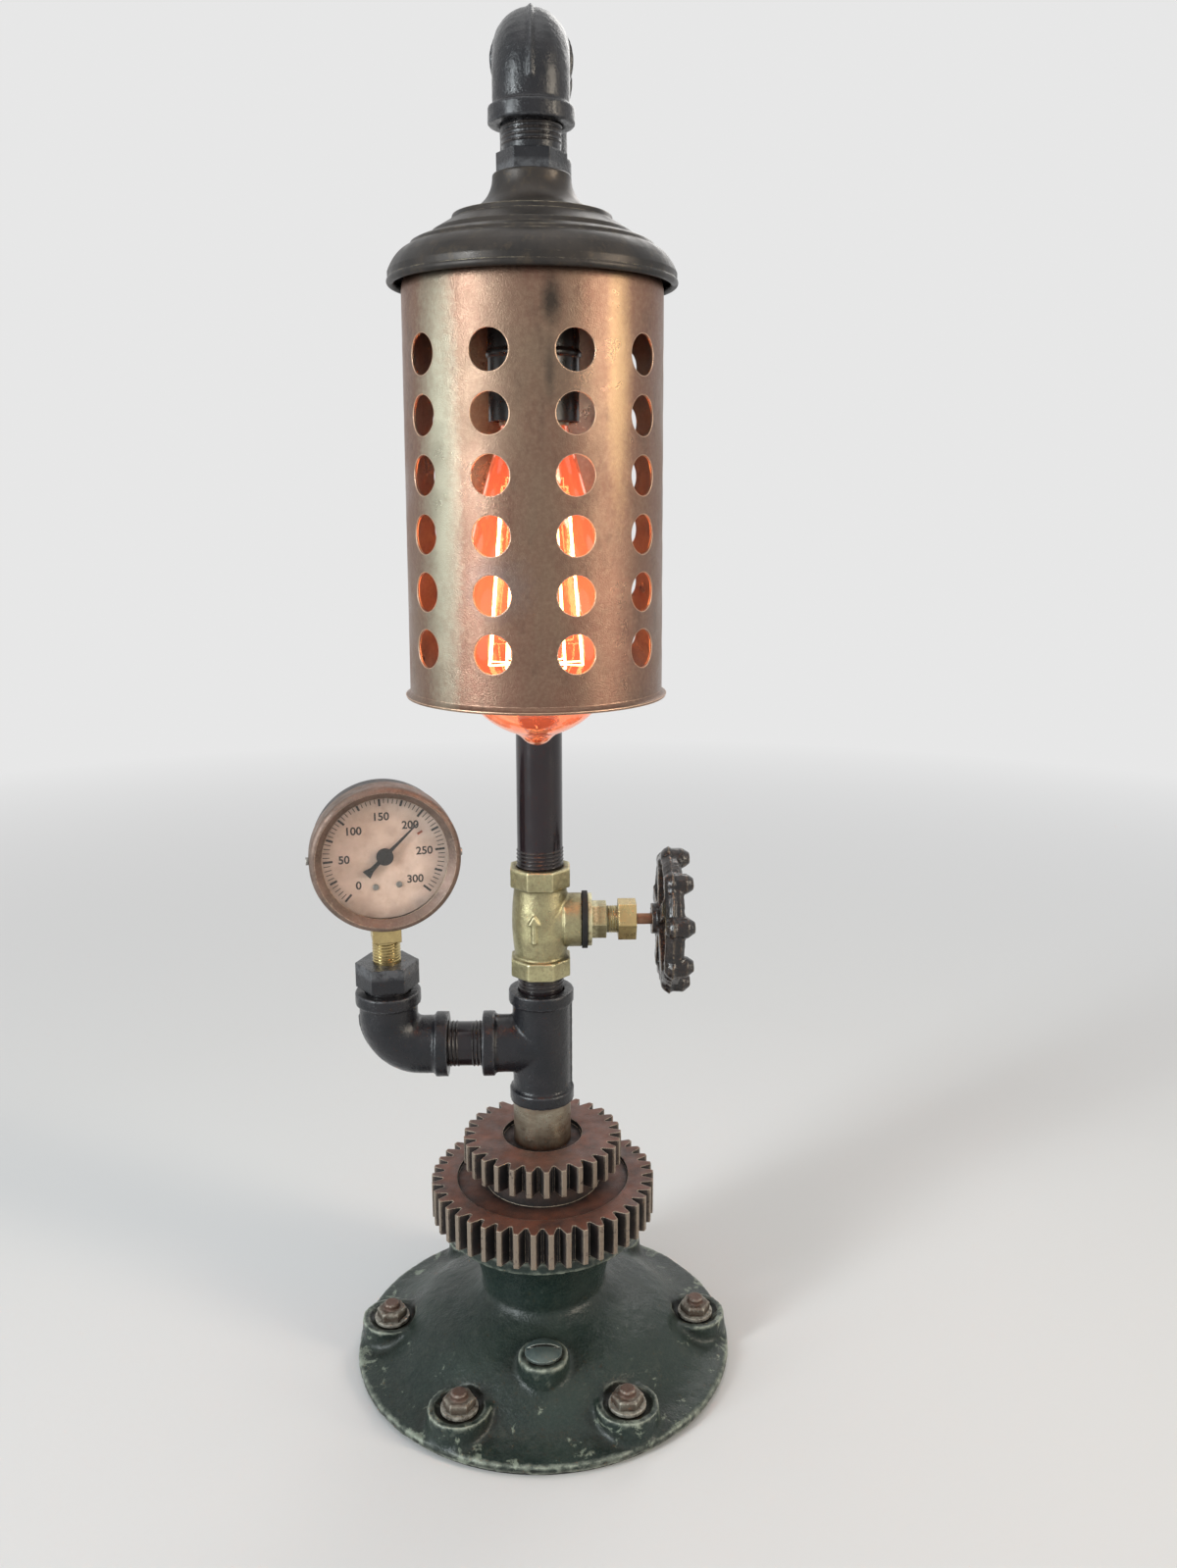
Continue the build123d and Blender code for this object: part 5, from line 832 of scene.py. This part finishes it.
bend, side, collar = seamForm["bend"] * mm, seamForm["side"] * mm, seamForm["collar"] * mm
branchEnd = seamForm["branchEnd"] * mm
fittingCast = {"voxel": 0.65, "passes": 3, "lumps": [(3.0, 0.22)]}
fittingBeads = {
    "back_elbow": [bendBead((0, -bend, armZ - bend), back, up)],
    "front_elbow": [bendBead((0, armY + bend, armZ - bend), forwards, up)],
    "gauge_elbow": [bendBead((gaugeX + bend, 0, branchZ + bend), left, down)],
    "tee": [straightBead((side, 0, teeBox[0].z + collar), (side, 0, teeBox[1].z - collar))],
}
for level in (branchZ + side, branchZ - side):
    fittingBeads["tee"].append(straightBead((teeBox[0].x + collar, 0, level), (-branchEnd, 0, level)))
for node, beads in fittingBeads.items():
    castCopy(node, fittingCast, "lamp", "fittingIron", beads)

valveCast = {"voxel": 0.55, "passes": 3, "lumps": [(2.5, 0.15)]}
castCopy("valve_body", valveCast, "lamp", "castBrass", flowArrow())

rim = {"place": 8.2, "width": 1.5, "spreadOut": 1.028}


def rimSeam(node):
    # a thin slice of the wheel, spread a little: the seam where the two halves of its mould met
    middle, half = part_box(node)[0].x + rim["place"] * mm, rim["width"] * mm / 2
    seam = copyNode(node, "seam")
    for edge, facing in ((middle - half, -1), (middle + half, 1)):
        bpy.ops.object.mode_set(mode="EDIT")
        bpy.ops.mesh.select_all(action="SELECT")
        bpy.ops.mesh.bisect(plane_co=(edge, 0, 0), plane_no=(facing, 0, 0), use_fill=True, clear_outer=True)
        bpy.ops.object.mode_set(mode="OBJECT")
    about = Matrix.Translation((0, 0, stemZ))
    widened = Matrix.Diagonal((1, rim["spreadOut"], rim["spreadOut"], 1))
    return settle(seam, "seam", about @ widened @ about.inverted())


wheelCast = {"voxel": 0.55, "passes": 4, "lumps": [(6.0, 0.7), (1.8, 0.25)]}
castCopy("handwheel", wheelCast, "handwheel", "wheelPaint", [rimSeam("handwheel")])
baseCast = {"voxel": 1.15, "passes": 3, "lumps": [(14.0, 0.9), (3.5, 0.35)]}
castCopy("base_casting", baseCast, "lamp", "castingPaint")
boltCast = {"voxel": 0.45, "passes": 4, "lumps": [(1.6, 0.3)]}
castCopy("flange_bolts", boltCast, "lamp", "boltRust")
print("castings dressed")

gauge = {"yaw": 12.0, "roll": 3.4, "face": 8.83, "outer": 27.9, "zero": 225, "degrees": 0.9, "highest": 300,
         "thickness": 0.05}
ticks = {"numbered": {"every": 50, "length": 4.4, "width": 1.0},
         "bold": {"every": 25, "length": 3.6, "width": 1.0},
         "fine": {"every": 5, "length": 3.1, "width": 0.36}}
digits = {"reach": 18.4, "size": 5.2, "thickness": 0.025, "weight": 0.11}
redTick = {"angle": 31, "outer": 20.6, "length": 2.6, "width": 1.0}
turn = math.radians(gauge["yaw"])
facing = Vector((math.sin(turn), -math.cos(turn), 0))
across = Vector((math.cos(turn), math.sin(turn), 0))
dialTurn = Matrix((across, Vector(up), facing)).transposed().to_4x4()
dialCentre = Vector((gaugeX, 0, (caseBox[0].z + caseBox[1].z) / 2)) + facing * gauge["face"] * mm
dialPlace = Matrix.Translation(dialCentre) @ dialTurn


def dialAngle(value):
    return math.radians(gauge["zero"] - gauge["degrees"] * value + gauge["roll"])


def dialMark(angle, outer, tick):
    length, width = tick["length"], tick["width"]
    middle = (outer - length / 2) * mm
    bpy.ops.mesh.primitive_cube_add(
        size=1, location=(middle * math.cos(angle), middle * math.sin(angle), 0), rotation=(0, 0, angle),
        scale=(length * mm, width * mm, gauge["thickness"] * mm))
    return settle(bpy.context.object, "mark")


def dialNumber(value):
    angle, reach = dialAngle(value), digits["reach"] * mm
    bpy.ops.object.text_add(location=(reach * math.cos(angle), reach * math.sin(angle), 0))
    number = bpy.context.object
    number.data.body = str(value)
    number.data.size = digits["size"] * mm
    number.data.align_x = "CENTER"
    number.data.align_y = "CENTER"
    number.data.extrude = digits["thickness"] * mm
    number.data.offset = digits["weight"] * mm
    pick(number)
    bpy.ops.object.convert(target="MESH")
    return settle(bpy.context.object, "number")


marks = []
for value in range(0, gauge["highest"] + 1, ticks["fine"]["every"]):
    tick = next(tick for tick in ticks.values() if value % tick["every"] == 0)
    marks.append(dialMark(dialAngle(value), gauge["outer"], tick))
marks += [dialNumber(value) for value in range(0, gauge["highest"] + 1, ticks["numbered"]["every"])]
dialPrint = settle(joinPieces(marks, "dialPrint"), "dialPrint", dialPlace)
declare(dialPrint, "lamp", materials["dialInk"])
redMark = dialMark(math.radians(redTick["angle"]), redTick["outer"], redTick)
settle(redMark, "dialRedMark", dialPlace)
declare(redMark, "lamp", materials["dialRed"])
print("dial printed")

camera = {"place": (0.0055, -0.575, 0.430), "tilt": 76.79, "yaw": -1.72, "lens": 29.27, "sensor": 36,
          "nearest": 0.01}
turned = (math.radians(camera["tilt"]), 0, math.radians(camera["yaw"]))
bpy.ops.object.camera_add(location=camera["place"], rotation=turned)
viewer = bpy.context.object
viewer.name = "camera"
viewer.data.lens = camera["lens"]
viewer.data.sensor_width = camera["sensor"]
viewer.data.clip_start = camera["nearest"]
bpy.context.scene.camera = viewer

room = {"floor": (0.74, 0.735, 0.725), "floorSize": 40, "roughness": 0.9, "specular": 0.2,
        "sky": (0.80, 0.80, 0.80), "ambient": 0.46, "ambientColour": (0.95, 0.97, 1.0), "fade": (0.45, 1.6)}
bpy.ops.mesh.primitive_plane_add(size=room["floorSize"])
floor = settle(bpy.context.object, "floor")
floorMaterial, floorTree, floorShader = blankMaterial(
    "floorPaper", Roughness=room["roughness"], Specular_IOR_Level=room["specular"],
    Base_Color=(*room["floor"], 1))
# far from the lamp the floor takes the colour of the sky, so no horizon shows
away = vectorMaths(floorTree, "LENGTH", here(floorTree))
far = maths(floorTree, "MULTIPLY", spread(floorTree, away, *room["fade"]), directRay(floorTree))
distant = addNode(floorTree, "ShaderNodeEmission", Color=(*room["sky"], 1), Strength=1.0)
fade = floorTree.nodes.new("ShaderNodeMixShader")
floorTree.links.new(far, fade.inputs[0])
floorTree.links.new(floorShader.outputs[0], fade.inputs[1])
floorTree.links.new(distant.outputs[0], fade.inputs[2])
floorTree.links.new(fade.outputs[0], floorTree.nodes["Material Output"].inputs["Surface"])
paint(floor, floorMaterial)

world = bpy.data.worlds.new("studio")
bpy.context.scene.world = world
world.use_nodes = True
sky = world.node_tree
sky.nodes.clear()
leaveSky = sky.nodes.new("ShaderNodeOutputWorld")
seen = addNode(sky, "ShaderNodeBackground", Color=(*room["sky"], 1), Strength=1.0)
lit = addNode(sky, "ShaderNodeBackground", Color=(*room["ambientColour"], 1), Strength=room["ambient"])
choose = sky.nodes.new("ShaderNodeMixShader")
sky.links.new(directRay(sky), choose.inputs[0])
sky.links.new(lit.outputs[0], choose.inputs[1])
sky.links.new(seen.outputs[0], choose.inputs[2])
sky.links.new(choose.outputs[0], leaveSky.inputs["Surface"])

lamps = {
    "keyLeft": {
        "place": (-1.6, -1.2, 0.80), "size": (0.35, 1.5), "power": 10.5, "spread": 90,
        "colour": (0.90, 0.97, 1.0)},
    "fillRight": {
        "place": (1.5, -0.8, 0.75), "size": (0.3, 1.2), "power": 4.4, "spread": 90,
        "colour": (1.0, 0.88, 0.72)},
    "backRim": {
        "place": (0.6, 1.5, 1.4), "size": (0.9, 0.9), "power": 1.2, "spread": 80,
        "colour": (1.0, 0.98, 0.95)},
    "overhead": {
        "place": (0.0, -0.2, 2.2), "size": (1.4, 1.4), "power": 5, "spread": 180,
        "colour": (1.0, 1.0, 1.0)},
}
aimHeight = 0.28
for name, lamp in lamps.items():
    aim = (Vector((0, 0, aimHeight)) - Vector(lamp["place"])).to_track_quat("-Z", "Y")
    bpy.ops.object.light_add(type="AREA", location=lamp["place"], rotation=aim.to_euler())
    light = bpy.context.object
    light.name = name
    light.data.shape = "RECTANGLE"
    light.data.size, light.data.size_y = lamp["size"]
    light.data.energy = lamp["power"]
    light.data.spread = math.radians(lamp["spread"])
    light.data.color = lamp["colour"]
print("camera and lights placed")

bpy.context.scene.view_settings.view_transform = "Standard"
